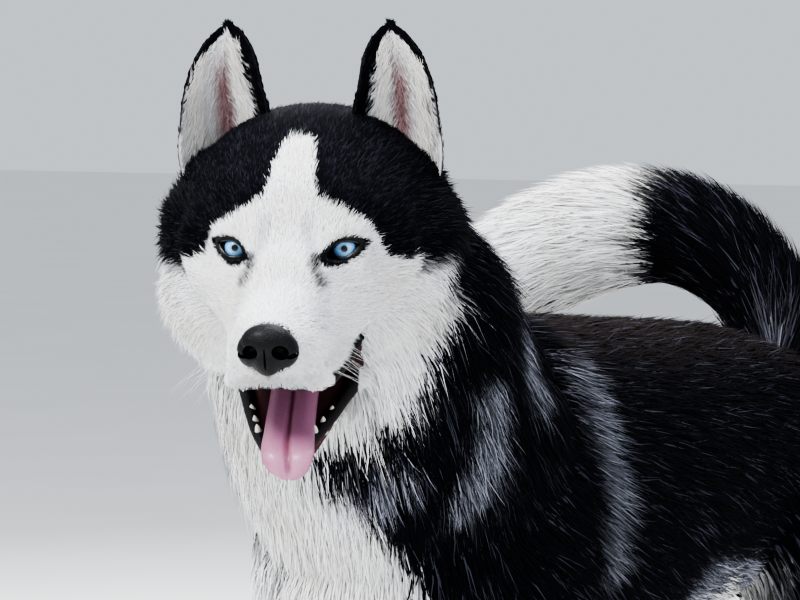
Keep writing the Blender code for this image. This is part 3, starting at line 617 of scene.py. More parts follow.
def near_line(spots, line):
    """How far points are from a line through given points, in the line's units."""
    found = np.full(len(spots), 1e9)
    for a, b in zip(line, line[1:]):
        a, b = np.array(a[:3], float), np.array(b[:3], float)
        t = np.clip((spots - a) @ (b - a) / ((b - a) @ (b - a)), 0, 1)
        found = np.minimum(found, np.linalg.norm(spots - a - t[:, None] * (b - a), axis=1))
    return found


def mirrored(line):
    return [(-row[0], *row[1:]) for row in line]


def near_pair(spots, line):
    """How far points are from a line or from its mirror image."""
    return np.minimum(near_line(spots, line), near_line(spots, mirrored(line)))


def ramp(value, low, high):
    """0 below low, 1 above high, and a soft step between them."""
    t = np.clip((value - low) / (high - low), 0, 1)
    return t * t * (3 - 2 * t)


def mix(first, second, share):
    share = np.asarray(share)[..., None]
    return np.asarray(first) * (1 - share) + np.asarray(second) * share


WAVE_WAYS = ((1, 0.3, 0.5), (-0.4, 1, 0.2), (0.3, -0.5, 1), (0.8, 0.7, -0.6), (-0.7, 0.5, 0.9))


def waves(spots, size):
    """A smooth uneven field between about -1 and 1, with features of about that size."""
    total = np.zeros(len(spots))
    for k, way in enumerate(WAVE_WAYS):
        total += np.sin((spots @ np.array(way)) * (6.28 / size) * (1 + 0.23 * k) + 1.7 * k)
    return total / 2.6


# How far the black of the lips reaches from their lines, and on the right of the lower jaw
LIP_REACH = 7.4
THIN_LIP = 4.5
# The line of the lips from the open mouth up to its corner, in the head's frame, and its half width
MOUTH_CORNER = ((36, -60, -72), (40, -45, -70), (42, -31, -65), (43.5, -21, -60), (44.5, -11, -56.5))
CORNER_REACH = 3.0
# The hair of the head, by how far back from the eyes it grows
HEAD_HAIR = {
    "along": (-95, -60, -30, 0, 25, 45, 65, 90, 120),
    "length": (5, 6.5, 9, 12, 17, 23, 28, 32, 36),
    "rise": (1.0, 1.5, 2.2, 3.4, 6, 10, 13, 14, 15),
    "depth": (1.0, 1.4, 2.0, 3.2, 5, 6.5, 8, 8.5, 9),
    "width": (0.5, 0.55, 0.6, 0.64, 0.68, 0.72, 0.76, 0.8, 0.9),
    "density": (2.4, 2.1, 1.7, 1.45, 1.35, 1.3, 1.25, 1.05, 0.85),
}
# The hair on top of the head, as a share of the hair lower down
SLEEK = {"length": 0.62, "rise": 0.45, "depth": 0.75}
# The hair of the legs, by its height
LEG_HAIR = {
    "along": (0, 30, 70, 140, 240, 330, 420),
    "length": (7, 9, 13, 18, 26, 34, 44),
    "rise": (1.5, 2.5, 4, 6, 9, 12, 18),
    "depth": (1.0, 2.0, 3.5, 5.5, 8, 11, 18),
    "width": (0.9, 1.0, 1.2, 1.4, 1.6, 1.7, 1.7),
    "density": (0.36, 0.3, 0.22, 0.17, 0.14, 0.14, 0.16),
}
# What each region changes in the coat: how much it adds, and the share it takes off
REGIONS = {
    "ruff": ({"length": 4, "rise": 9, "depth": -4}, {}),
    "belly": ({}, {"depth": 0.35, "length": 0.3, "rise": 0.45}),
    "bib": ({"length": 4, "rise": 5}, {}),
    "breeches": ({"length": 12, "rise": 6}, {}),
    "openings": ({}, {"depth": 0.8, "length": 0.6, "rise": 0.7, "width": 0.3, "density": -0.8}),
    "tail_tip": ({}, {"length": 0.5, "rise": 0.4}),
}
# The nose: its middle in the head's frame, and how far round it the skin is bare, and black
NOSE_MIDDLE = (0, -100, -43)
NOSE_BARE = (19.5, 15, 17)
NOSE_BLACK = (21, 17, 19)
# How far round the eyes the skin is bare, and black, in openings of the lids
LIDS_BARE = 1.32
LIDS_BLACK = 1.45
# Under this height the feet stand on bare black pads
PAD_HEIGHT = 2.5


def eye_gaze(side):
    """The frame of one eye: its -Y looks out of the head, along the middle of the lids' opening."""
    x, y, z = EYE_MIDDLE
    turn = Matrix.Rotation(EYE_OUT * side, 4, "Z") @ Matrix.Rotation(-EYE_UP, 4, "X")
    slant = Matrix.Rotation(-LID_SLANT * side, 4, "Y")
    return HEAD @ Matrix.Translation(Vector((x * side, y, z)) * MM) @ turn @ slant


def eye_reach(points):
    """1 on the edge of the nearer eye's opening, less inside it and more outside."""
    found = np.full(len(points), 99.0)
    for side in SIDES.values():
        spots = local(points, eye_gaze(side))
        wide, high = LID_OPENING
        reach = np.hypot(spots[:, 0] / wide, spots[:, 2] / high)
        near = (spots[:, 1] < 2) & (np.linalg.norm(spots, axis=1) < 40)
        found = np.where(near, np.minimum(found, reach), found)
    return found


def lip_masks(points, normals):
    """Which points are black lip, and which lie inside the mouth."""
    upper, lower = local(points, HEAD), local(points, JAW_AT)
    rows = np.array(UPPER_LIP)[::-1]
    edge = np.interp(upper[:, 1], rows[:, 1], rows[:, 2])
    wide = np.interp(upper[:, 1], rows[:, 1], rows[:, 0])
    rows = np.array(LOWER_LIP)[::-1]
    floor = np.interp(lower[:, 1], rows[:, 1], rows[:, 2])
    between_jaws = (upper[:, 2] < edge - 1.5) & (lower[:, 2] > floor + 0.5) & (upper[:, 1] < 20)
    front = (upper[:, 1] < -24) | (np.abs(upper[:, 0]) < wide - 2)
    within = (np.abs(upper[:, 0]) < wide + 5) & front
    near_upper = (near_pair(upper, UPPER_LIP) < LIP_REACH) & (upper[:, 2] < edge - 3.5) & front
    reach = np.where(lower[:, 0] > 0, LIP_REACH, THIN_LIP)
    near_lower = (near_pair(lower, LOWER_LIP) < reach) & (lower[:, 2] > floor - 1.5) & front
    corner = near_line(upper, MOUTH_CORNER) < CORNER_REACH
    lips = near_upper | near_lower | corner
    up = turned(normals, np.array(JAW_AT).T)[:, 2]
    down = turned(normals, np.array(HEAD).T)[:, 2] < -0.1
    palate = (np.abs(upper[:, 0]) < wide - 2) & (upper[:, 2] < edge + 8) & down
    side = np.interp(lower[:, 1], rows[:, 1], rows[:, 0])
    bed = (np.abs(lower[:, 0]) < side - 1) & (lower[:, 2] > floor - 16)
    bed = bed & (up > 0.1) & (upper[:, 2] < edge - 2)
    inside = (between_jaws & within) | ((palate | bed) & (upper[:, 1] < 20) & (upper[:, 1] > -86))
    return lips, inside & ~lips


def nose_reach(head, radii):
    """1 on an ellipsoid about the nose, and less inside it."""
    return np.linalg.norm((head - np.array(NOSE_MIDDLE)) / np.array(radii), axis=1)


def growth(points, normals, belongs, along):
    """How the coat grows at each point, with the skin's depth under it and tufts to a square millimetre."""
    head, body, jaw = (local(points, place) for place in (HEAD, BODY, JAW_AT))
    kinds = [part.split("_")[0] for part in PARTS]
    base = np.array([GROWTH[kind] for kind in kinds])
    grown = dict(zip(("depth", "length", "width", "rise"), (belongs @ base).T))
    grown["density"] = belongs @ np.array([DENSITY[kind] for kind in kinds])
    of_head = belongs[:, HEAD_PARTS].sum(axis=1)
    of_legs = belongs[:, LEG_PARTS].sum(axis=1) * (1 - ramp(body[:, 2], 330, 420))
    low = 1 - ramp(head[:, 2], 15, 45)
    for key, value in grown.items():
        on_head = np.interp(head[:, 1], HEAD_HAIR["along"], HEAD_HAIR[key])
        if key in SLEEK:
            on_head = on_head * (SLEEK[key] + (1 - SLEEK[key]) * low)
        on_legs = np.interp(body[:, 2], LEG_HAIR["along"], LEG_HAIR[key])
        grown[key] = value * (1 - of_head - of_legs) + on_head * of_head + on_legs * of_legs
    lids, muzzle = eye_reach(points), nose_reach(head, NOSE_BARE)
    above, below = near_pair(head, UPPER_LIP), near_pair(jaw, LOWER_LIP)
    openings = 1 - ramp(lids, 1.3, 3.6)
    openings = np.maximum(openings, (1 - ramp(below, LIP_REACH, LIP_REACH + 9)) * (head[:, 1] < 20))
    openings = np.maximum(openings, 0.35 * (1 - ramp(above, LIP_REACH, LIP_REACH + 9)) * (head[:, 1] < 20))
    openings = np.maximum(openings, 1 - ramp(muzzle, 1.0, 1.6))
    cheeks = ramp(head[:, 1], 12, 46) * ramp(np.abs(head[:, 0]), 38, 62) * ramp(-head[:, 2], -42, -8)
    masks = {
        "ruff": cheeks * of_head,
        "belly": ramp(-normals[:, 2], 0.3, 0.8) * belongs[:, TRUNK],
        "bib": ramp(-body[:, 1], 255, 300) * (belongs[:, TRUNK] + belongs[:, COLLAR]),
        "breeches": ramp(body[:, 1], 240, 290) * ramp(body[:, 2], 300, 350) * (1 - belongs[:, TAIL_PART]),
        "openings": openings,
        "tail_tip": ramp(along[:, TAIL_PART], 0.86, 1.0) * belongs[:, TAIL_PART],
    }
    for region, (more, less) in REGIONS.items():
        for key, amount in more.items():
            grown[key] = grown[key] + amount * masks[region]
        for key, share in less.items():
            grown[key] = grown[key] * (1 - share * masks[region])
    # Short flat hair by the corner of the mouth, so that it stays clear
    gap = np.maximum(near_pair(head, MOUTH_CORNER) - CORNER_REACH, 0)
    grown["length"] = np.minimum(grown["length"], 1.5 + 0.8 * gap)
    grown["rise"] = np.minimum(grown["rise"], 0.5 + 0.3 * gap)
    lips, mouth = lip_masks(points, normals)
    bare = lips | mouth | (lids < LIDS_BARE) | (muzzle < 0.95) | (body[:, 2] < PAD_HEIGHT)
    grown["depth"] = np.where(lips | mouth, 0, grown["depth"])
    grown["density"] = np.where(bare, 0, grown["density"])
    return grown


def almond(side, reach, out, steps=40):
    """Points of the lids' edge, at a distance from the eye's middle, in the scene's metres."""
    wide, high = LID_OPENING
    made = []
    for k in range(steps):
        angle = 2 * math.pi * k / steps
        x = math.cos(angle) * wide * reach
        z = math.sin(angle) * high * reach * (1 - 0.35 * abs(math.cos(angle)))
        y = -math.sqrt(max(out * out - x * x - z * z, 0))
        made.append(eye_gaze(side) @ (Vector((x, y, z)) * MM))
    return made


def cut_lids(skin):
    """Sets each eye under a ball of lid, which is hollowed for it and opened with an almond."""
    balls, cuts = [], []
    for side in SIDES.values():
        gaze = eye_gaze(side)
        balls.append(blob("lid", (0, 0, 0), (EYE_RADIUS + LID_THICK,) * 3, gaze, detail=5))
        cuts.append(blob("socket", (0, 0, 0), (EYE_RADIUS + SOCKET_GAP,) * 3, gaze, detail=5))
        back = gaze.inverted()
        edge = [back @ point / MM for point in almond(side, 1.0, EYE_RADIUS + LID_THICK)]
        ends = [[gaze @ (Vector((x * wide, y, z * wide)) * MM) for x, _, z in edge] for wide, y in LID_CUT]
        cuts.append(loft("almond", ends))
    boolean(skin, balls, "UNION")
    boolean(skin, cuts, "DIFFERENCE")


def make_skin():
    """The one skin of the whole animal, under its coat, with the lids cut and every face a triangle."""
    skin = joined(flesh(), "skin")
    fuse(skin, SKIN_VOXEL, SKIN_STEPS, softness)
    sculpt(skin)
    points = points_of(skin)
    on_body = (local(points, HEAD)[:, 1] > BEHIND_HEAD) & (local(points, BODY)[:, 2] > ABOVE_FEET)
    thin_out(skin, BODY_SHARE, on_body)
    points, normals = points_of(skin), normals_of(skin)
    depth, _, along = nearness(points)
    grown = growth(points, normals, shares(depth), along)
    points = points - normals * (grown["depth"] * MM)[:, None]
    points[:, 2] = np.maximum(points[:, 2], 0)
    move_points(skin, points)
    cut_lids(skin)
    bm = bmesh.new()
    bm.from_mesh(skin.data)
    bmesh.ops.triangulate(bm, faces=bm.faces)
    bm.to_mesh(skin.data)
    bm.free()
    skin.data.shade_smooth()
    unwrap(skin)
    return skin


def unwrap(target):
    """Lays the object's own shape out flat, as the map that its coat shares."""
    layer = target.data.uv_layers.new(name="OFBake")
    layer.active = True
    bpy.ops.object.select_all(action="DESELECT")
    bpy.context.view_layer.objects.active = target
    target.select_set(True)
    bpy.ops.object.mode_set(mode="EDIT")
    bpy.ops.mesh.select_all(action="SELECT")
    bpy.ops.uv.smart_project(angle_limit=math.radians(60), island_margin=0.001)
    bpy.ops.object.mode_set(mode="OBJECT")


def corner_map(target):
    """The map's place of each corner of each triangle."""
    return read(target.data.uv_layers["OFBake"].data, "uv", 2).reshape(-1, 3, 2)


def lie_of(points, normals, belongs, ways):
    """The way the hair lies at each point, along the skin."""
    head, body = local(points, HEAD), local(points, BODY)
    side = np.sign(head[:, 0])
    from_nose = unit(head - np.array(NOSE_TIP))
    cheek = ramp(head[:, 1], 5, 60) * ramp(-head[:, 2], -20, 20)
    droop = np.stack((0.30 * side, 0.2 + 0 * side, -0.95 + 0 * side), axis=1) * cheek[:, None]
    crown = np.array((0, 0.9, 0.1)) * (ramp(head[:, 2], 30, 60) * ramp(head[:, 1], -10, 30))[:, None]
    lies = from_nose + droop * 1.3 + crown
    along_lip = np.exp(-((near_pair(head, MOUTH_CORNER) / 13) ** 2))
    lies = lies + np.array((0, 1.0, 0.34)) * (3.5 * along_lip)[:, None]
    for sign in SIDES.values():
        off = head - np.array((EYE_MIDDLE[0] * sign, EYE_MIDDLE[1] - 8, EYE_MIDDLE[2]))
        near = np.exp(-((np.linalg.norm(off, axis=1) / 17) ** 2))
        lies = lies + unit(off) * near[:, None] * 1.1
    face = turned(lies, HEAD)
    down = np.array((0.0, 0.0, -1.0))
    flank = 1 - np.abs(normals[:, 2])
    torso = ways[:, TRUNK] + down * (0.55 * flank)[:, None]
    chest = ramp(-body[:, 1], 200, 290)[:, None]
    torso = torso * (1 - chest) + (down + np.array((0, 0.15, 0))) * chest
    neck = -ways[:, COLLAR] + down * 0.5
    total = torso * belongs[:, [TRUNK]] + neck * belongs[:, [COLLAR]]
    total = total + face * belongs[:, HEAD_PARTS].sum(axis=1)[:, None]
    for k in range(*LEG_PARTS.indices(len(PARTS))):
        total = total + (ways[:, k] + np.array((0, 0.25, 0))) * belongs[:, [k]]
    total = total + ways[:, TAIL_PART] * belongs[:, [TAIL_PART]]
    total = total - normals * (total * normals).sum(axis=1)[:, None]
    return unit(total)


# Colours as linear red, green, blue
WHITE = (0.86, 0.86, 0.87)
CREAM = (0.74, 0.70, 0.64)
BLACK = (0.006, 0.006, 0.009)
SLATE = (0.075, 0.078, 0.105)
SILVER = (0.42, 0.43, 0.50)
BROWN = (0.030, 0.021, 0.019)
LEATHER = (0.009, 0.008, 0.009)
# The inside of the mouth: dark red gum, darkened further as painted shade
GUM_IN_PAINTED_SHADE = (0.055, 0.018, 0.022)
# Dusky pink of the ear's hollow: partly its skin and partly painted shade in the cup
EAR_PINK_AND_SHADE = (0.25, 0.155, 0.16)
EAR_HAIR = (0.62, 0.61, 0.61)
TONGUE_PINK = (0.43, 0.18, 0.29)
TONGUE_DARK = (0.20, 0.045, 0.075)
TOOTH = (0.58, 0.55, 0.48)
HORN = (0.05, 0.045, 0.045)
BRISTLE = (0.75, 0.74, 0.72)
FLOOR = (0.82, 0.82, 0.81)

# The lower edge of the black cap over the face: how far out, and its height, in the head's frame
CAP_OUT = (0, 6, 10.5, 14, 15.5, 19, 29, 41, 52, 57, 63, 75, 90, 99, 106)
CAP_EDGE = (78, 74, 68, 60, 51, 42, 36, 31, 23, 14, 1, -5, -15, -28, -60)
# The back edge of the white cheek: its height, and how far back
CHEEK_UP = (-130, -118, -105, -91, -71, -58, -39, -26)
CHEEK_BACK = (28, 34, 37, 40, 45, 51, 58, 59)
# The edge of the white throat and bib: its height in the body's frame, and the angle from the front
BIB_UP = (300, 330, 360, 395, 408, 420, 434, 449, 462, 473, 480, 488, 498, 514, 528, 546, 577, 622)
BIB_LEFT = (80, 55, 42, 31, 28, 25, 21, 18, 17, 10, 6, 17, 24, 28, 32, 37, 42, 42)
BIB_RIGHT = (80, 60, 54, 50, 48, 47, 46, 43, 38, 34, 32, 31, 31, 33, 40, 46, 46, 44)
# The dark band that ends as a point on the throat, on the left
THROAT_BAND = ((14, -339, 479), (30, -336, 481), (48, -333, 486), (62, -330, 493), (76, -324, 502))
# The upper edge of the white belly: how far back, and its height
BELLY_BACK = (-300, -240, -180, -100, 0, 100, 180, 240, 330)
BELLY_EDGE = (300, 300, 312, 326, 356, 368, 345, 300, 320)
# Light marks in the dark coat, on both sides: line in the body's frame, half width, how light
LIGHT_MARKS = (
    (((66, -228, 630), (86, -230, 578), (100, -237, 544), (98, -217, 521)), 11, 0.65),
    (((102, -288, 534), (100, -275, 511), (95, -276, 494), (89, -275, 476), (82, -279, 462)), 9, 0.7),
    (((38, -324, 462), (49, -322, 468), (58, -320, 476), (66, -316, 483)), 6, 0.8),
    (((77, -107, 531), (92, -111, 508), (105, -117, 471), (109, -118, 430), (107, -120, 400)), 14, 0.42),
    (((103, 8, 358), (107, 30, 372), (92, 114, 368), (68, 134, 362)), 16, 0.8),
    (((30, 300, 520), (10, 312, 560)), 18, 0.5),
)
# Where the coat turns from white to black up the legs, and from black to white along the tail
FORE_DARK = (292, 320)
HIND_DARK = (205, 255)
TAIL_WHITE = (0.445, 0.50)
# How far back of its table the white cheek's edge lies, left and right, and the throat band's soft edge
CHEEK_MOVED = (-3, 26)
BAND_EDGE = (6, 9)
# The black surround of an eye: its half length and half height
LINER = (20, 9.3)
# Painted shade about the inner corner of each eye, seen from the front: a dark streak under it, a dark blot
# in it, and a grey shade up to the blaze
EYE_STREAK = ((21, 0, 1), (23, 0, -4), (27.5, 0, -12))
EYE_BLOT = ((21.5, 0, 3.5), (23, 0, 0.5))
BROW_SHADE = ((20, 0, 5), (16, 0, 14), (14, 0, 26))
# The pale grey painted shade from the inner corner of each eye along the muzzle's side
MUZZLE_SHADE = ((23, -22, -6), (22, -42, -20), (25, -64, -34))
# The groove from the nose down to the lip
PHILTRUM = ((0, -104, -58), (0, -101, -68), (0, -98, -80))


def darkness(points, normals, belongs, along, stray):
    """How dark the coat is, from 0 for white to 1 for black; stray shifts the marks at each point."""
    head, body = local(points, HEAD) + stray, local(points, BODY) + stray
    wander = waves(body, 34)
    on_left = body[:, 0] > 0
    # The cap over the face, and the black behind the cheeks
    out = np.abs(head[:, 0] - 2)
    cap = ramp(head[:, 2] - np.interp(out, CAP_OUT, CAP_EDGE) + 1.6 * wander, -1.5, 1.5)
    edge = np.interp(head[:, 2], CHEEK_UP, CHEEK_BACK) + np.where(head[:, 0] > 0, *CHEEK_MOVED)
    cheek = ramp(head[:, 1] - edge + 3 * wander, -2, 2) * (out > 58)
    back = ramp(head[:, 1] + 3 * wander, 22, 32) * ramp(head[:, 2], -26, -14)
    on_head = np.maximum.reduce((cap, cheek, back))
    # The bib, by the angle from straight ahead, with the nape and the throat band over it
    angle = np.degrees(np.arctan2(np.abs(body[:, 0]), -(body[:, 1] + 200)))
    left, right = np.interp(body[:, 2], BIB_UP, BIB_LEFT), np.interp(body[:, 2], BIB_UP, BIB_RIGHT)
    bib = ramp(angle - np.where(on_left, left, right) + 2.5 * wander, -1.5, 1.5)
    band = 1 - ramp(near_line(body, THROAT_BAND) + 2 * wander, *BAND_EDGE)
    neck = np.array(NECK)
    middle_x, middle_y = (np.interp(body[:, 2], neck[:, 2], neck[:, k]) for k in (0, 1))
    behind = body[:, 1] - middle_y - 60 * ramp(middle_x - body[:, 0], 38, 60)
    bib = np.maximum(bib, ramp(behind + 10 * wander, -14, 2) * (body[:, 2] > 470))
    belly = ramp(body[:, 2] - np.interp(body[:, 1], BELLY_BACK, BELLY_EDGE) + 7 * wander, -4, 4)
    blended = ramp(belongs[:, HEAD_PARTS].sum(axis=1), 0.35, 0.65)
    dark = np.maximum(on_head * blended + bib * belly * (1 - blended), band)
    # The legs, the tail and the pale rump under it
    outer = ramp(np.sign(body[:, 0]) * normals[:, 0], -0.3, 0.1)
    fore = ramp(body[:, 2] + 8 * wander, *FORE_DARK) * outer
    hind = ramp(body[:, 2] + 12 * wander, *HIND_DARK) * outer * (1 - ramp(body[:, 1], 285, 305))
    of_fore, of_hind = belongs[:, FORE_PARTS].sum(axis=1), belongs[:, HIND_PARTS].sum(axis=1)
    dark = dark * (1 - of_fore - of_hind) + fore * of_fore * bib + hind * of_hind
    of_tail = belongs[:, TAIL_PART]
    tail = 1 - ramp(along[:, TAIL_PART] + 0.02 * wander, *TAIL_WHITE)
    dark = dark * (1 - of_tail) + tail * of_tail
    rump = ramp(body[:, 1] - 300 - 0.25 * np.abs(body[:, 0]) + 6 * wander, -6, 6)
    rump = rump * (1 - ramp(body[:, 2], 440, 470))
    return dark * (1 - 0.75 * rump * (1 - of_tail))


def eye_liner(points, stray):
    """1 in the pointed black surround of each eye, and 0 outside it."""
    found = np.zeros(len(points))
    for side in SIDES.values():
        spots = local(points, eye_gaze(side)) + 0.8 * stray
        half_length, half_height = LINER
        edge = half_height * (1 - (spots[:, 0] / half_length) ** 2)
        near = (np.linalg.norm(spots, axis=1) < 30) & (spots[:, 1] < 4)
        found = np.maximum(found, ramp(edge - np.abs(spots[:, 2]), -0.7, 0.7) * near)
    return found


def coat_colours(points, normals, belongs, along, chance, stray):
    """The colour of the coat at each point; chance, from 0 to 1, sets each tuft apart from its neighbours."""
    head, body = local(points, HEAD), local(points, BODY)
    on_skull = belongs[:, SKULL_PART]
    dark = darkness(points, normals, belongs, along, stray)
    white = mix(WHITE, CREAM, 0.25 + 0.25 * waves(body, 90))
    top = ramp(normals[:, 2], 0.55, 0.9) * (belongs[:, TRUNK] > 0.5)
    black = mix(BLACK, BROWN, 0.55 * top)
    # Slate-grey hairs in the black coat: partly real grey guard hairs and partly a painted blue-grey sheen;
    # on the skull's cap they stand in for its soft sheen
    grey = (chance < 0.08 + 0.06 * waves(body, 60)) * (1 - on_skull)
    black = mix(black, SLATE, 0.8 * grey + 0.3 * (chance < 0.22 + 0.1 * waves(body, 25)) * on_skull)
    light = np.zeros(len(points))
    for line, wide, strength in LIGHT_MARKS:
        far = near_pair(body + stray, line) + 5 * waves(body, 22)
        light = np.maximum(light, strength * (1 - ramp(far, 0.3 * wide, 1.5 * wide)))
    black = mix(black, SILVER, np.minimum(light * (chance * 0.9 + 0.35), 1))
    made = white * (1 - dark[:, None]) + black * dark[:, None]
    # Painted shade along the muzzle and about the eyes, and the eyes' black surround; the marks about the
    # eyes as lines seen from the front
    flat = (head + 0.6 * stray) * np.array((1, 0, 1))
    ahead = head[:, 1] < 10
    # Painted shade: pale grey along the muzzle's sides and up from the inner corners of the eyes
    shade = 0.5 * (1 - ramp(near_pair(head, MUZZLE_SHADE), 2, 15))
    shade = np.maximum(shade, (1 - ramp(near_pair(flat, BROW_SHADE), 1, 7)) * (0.25 + 0.5 * chance) * ahead)
    made = mix(made, SILVER, shade * (on_skull > 0.3))
    # The eyes' black surround, with painted shade under their inner corners and in them
    liner_and_painted_shade = eye_liner(points, stray)
    liner_and_painted_shade = np.maximum(liner_and_painted_shade, (1 - ramp(near_pair(flat, EYE_STREAK), 0.8, 5.4)) * (0.4 + 0.6 * chance))
    liner_and_painted_shade = np.maximum(liner_and_painted_shade, (1 - ramp(near_pair(flat, EYE_BLOT), 0.8, 5.0)) * (0.6 + 0.6 * chance))
    made = mix(made, BLACK, np.minimum(liner_and_painted_shade, 1) * ahead)
    # Dark specks along the upper lip, and the groove under the nose
    specks = near_pair(head + 0.5 * stray, UPPER_LIP) + 2 * waves(head, 11)
    specks = (1 - ramp(specks, 5, 14)) * ramp(-head[:, 1], 70, 86) * (0.1 + 0.5 * chance)
    groove = 0.8 * (1 - ramp(near_line(head + 0.4 * stray, PHILTRUM), 1.5, 4.5))
    made = mix(made, SLATE, np.minimum(np.maximum(specks, groove), 1))
    return made * (0.86 + 0.28 * chance)[:, None]


def skin_colours(points, normals, belongs, along):
    """The skin's colours: the coat's own marks, with black lips and lids, and the inside of the mouth dark
    red in painted shade.
    """
    made = coat_colours(points, normals, belongs, along, np.full(len(points), 0.5), 0) * 0.8
    lips, mouth = lip_masks(points, normals)
    by_nose = nose_reach(local(points, HEAD), NOSE_BLACK) < 1
    black = lips | by_nose | (eye_reach(points) < LIDS_BLACK) | (local(points, BODY)[:, 2] < PAD_HEIGHT)
    # Inside the mouth the skin is dark red gum, darkened as painted shade
    return np.where(black[:, None], LEATHER, np.where(mouth[:, None], GUM_IN_PAINTED_SHADE, made))


# The rings of a tuft, as shares of its length: the short kind has one ring fewer
SHORT_RINGS = ((0.0, 0.75), (0.5, 1.0), (1.0, 0.0))
LONG_RINGS = ((0.0, 0.7), (0.38, 1.0), (0.74, 0.7), (1.0, 0.0))
# How deep a tuft's root is sunk into the skin, and how large its patch is on the map
ROOT_SUNK = 0.6
PATCH = 0.003
# How far the shading normals lean apart across a tuft, so that the flat blade looks round
ROUNDNESS = 0.45


def mesh_from(name, points, faces, corners):
    """A mesh object from arrays: faces is a list of arrays with so many corners to a face."""
    mesh = bpy.data.meshes.new(name)
    loops = np.concatenate([block.ravel() for block in faces])
    sizes = np.concatenate([np.full(len(block), block.shape[1]) for block in faces])
    starts = np.concatenate(([0], np.cumsum(sizes)[:-1]))
    mesh.vertices.add(len(points))
    mesh.vertices.foreach_set("co", np.ascontiguousarray(points, np.float32).ravel())
    mesh.loops.add(len(loops))
    mesh.loops.foreach_set("vertex_index", loops.astype(np.int32))
    mesh.polygons.add(len(sizes))
    mesh.polygons.foreach_set("loop_start", starts.astype(np.int32))
    layer = mesh.uv_layers.new(name="OFBake")
    layer.uv.foreach_set("vector", np.ascontiguousarray(corners[loops], np.float32).ravel())
    mesh.update(calc_edges=True)
    mesh.shade_smooth()
    made = bpy.data.objects.new(name, mesh)
    bpy.context.scene.collection.objects.link(made)
    return made


def paint(target, colours):
    """Keeps a colour at each point of the mesh, which its material reads."""
    layer = target.data.color_attributes.new("coat", "FLOAT_COLOR", "POINT")
    full = np.ones((len(colours), 4), np.float32)
    full[:, :3] = colours
    layer.data.foreach_set("color", full.ravel())


def strands(name, tufts, rings):
    """One mesh of tufts, each a flat tapered blade that rises from its root and bends over along the lie."""
    count = len(tufts["root"])
    root, normal, lie, across = (tufts[key] for key in ("root", "normal", "lie", "across"))
    length, rise, width = (tufts[key][:, None] * MM for key in ("length", "rise", "width"))
    points, colours, corners, bulges = [], [], [], []
    for share, wide in rings:
        middle = root + lie * length * share + normal * rise * (2 * share - share * share)
        middle = middle + tufts["pull"] * share**1.6 - normal * ROOT_SUNK * MM * (share == 0)
        # Painted shade: each tuft is darker at its root and a little lighter at its tip
        shade = tufts["colour"] * (0.84 + 0.18 * share)
        for sign in (-1, 1) if wide else (0,):
            points.append(middle + across * width * (0.5 * wide * sign))
            colours.append(shade)
            bulges.append(unit(normal + across * (ROUNDNESS * sign) + lie * (0.12 * share)))
            corners.append(tufts["uv"] + np.array((PATCH * 0.5 * sign * wide, PATCH * (share - 0.5))))
    each = len(points)
    blocks = (points, colours, corners, bulges)
    points, colours, corners, bulges = (np.stack(block, axis=1).reshape(count * each, -1) for block in blocks)
    first = np.arange(count)[:, None] * each
    faces = [first + np.array((2 * k, 2 * k + 1, 2 * k + 3, 2 * k + 2)) for k in range(len(rings) - 2)]
    quads = np.stack(faces, axis=1).reshape(-1, 4)
    tips = first + np.array((each - 3, each - 2, each - 1))
    made = mesh_from(name, points, [quads, tips], corners)
    made.data.normals_split_custom_set_from_vertices(bulges)
    paint(made, colours)
    return made


# The share of tufts that lead a clump, and how far the others' tips are drawn to theirs
CLUMP_SHARE = 0.09
CLUMP_PULL = 0.5
# How far the tips may stand off the tail, above which height that holds, and how far all stay off the floor
TAIL_FRINGE = (4, 20)
TAIL_LOWEST = 470
FLOOR_GAP = 0.8
# How far along a tuft its colour is read from the marks
COLOUR_AT = 0.88
MOST_TRIANGLES = 190000
LONG_FROM = 56
# Ears: how thick, how much rounder than their tables, how wide the black rim is within and without, and
# the width for which EAR_CUP is given
EAR_SHEET = 2.6
EAR_ROUND = 5.0
EAR_RIM = (8.0, 7.0)
EAR_WIDTH = 75
EAR_GRID = (21, 37)
EAR_TUFTS = 11000
# The hair of the ears: its share of the tufts, then length, width and rise
EAR_HAIRS = {"back": (0.46, 8.0, 1.0, 2.2), "front": (0.34, 10.0, 0.75, 3.0), "edge": (0.2, 7.0, 0.8, 1.0)}
EAR_LONG_HAIR = (0.16, 25, 0.7, 5.0)


def sample(target, density):
    """Chance points on a mesh of triangles, as many to a square millimetre as density says at its corners."""
    points, triangles = points_of(target), triangles_of(target)
    a, b, c = (points[triangles[:, k]] for k in range(3))
    areas = np.linalg.norm(np.cross(b - a, c - a), axis=1) / 2 / MM**2
    wanted = areas * density[triangles].mean(axis=1)
    count = int(wanted.sum())
    places = (np.arange(count) + CHANCE.random(count)) * wanted.sum() / count
    chosen = np.minimum(np.searchsorted(np.cumsum(wanted), places), len(triangles) - 1)
    u, v = CHANCE.random((2, count))
    over = u + v > 1
    u, v = np.where(over, 1 - u, u), np.where(over, 1 - v, v)
    weights = np.stack((1 - u - v, u, v), axis=1)
    return triangles[chosen], weights, chosen


def clumped(roots, tips, pull):
    """How far each tuft's tip is drawn towards the tip of the nearest tuft that leads a clump."""
    leaders = np.flatnonzero(CHANCE.random(len(roots)) < CLUMP_SHARE)
    tree = KDTree(len(leaders))
    for index in leaders:
        tree.insert(roots[index], int(index))
    tree.balance()
    nearest = np.array([tree.find(root)[1] for root in roots])
    return (tips[nearest] - tips) * pull[:, None]


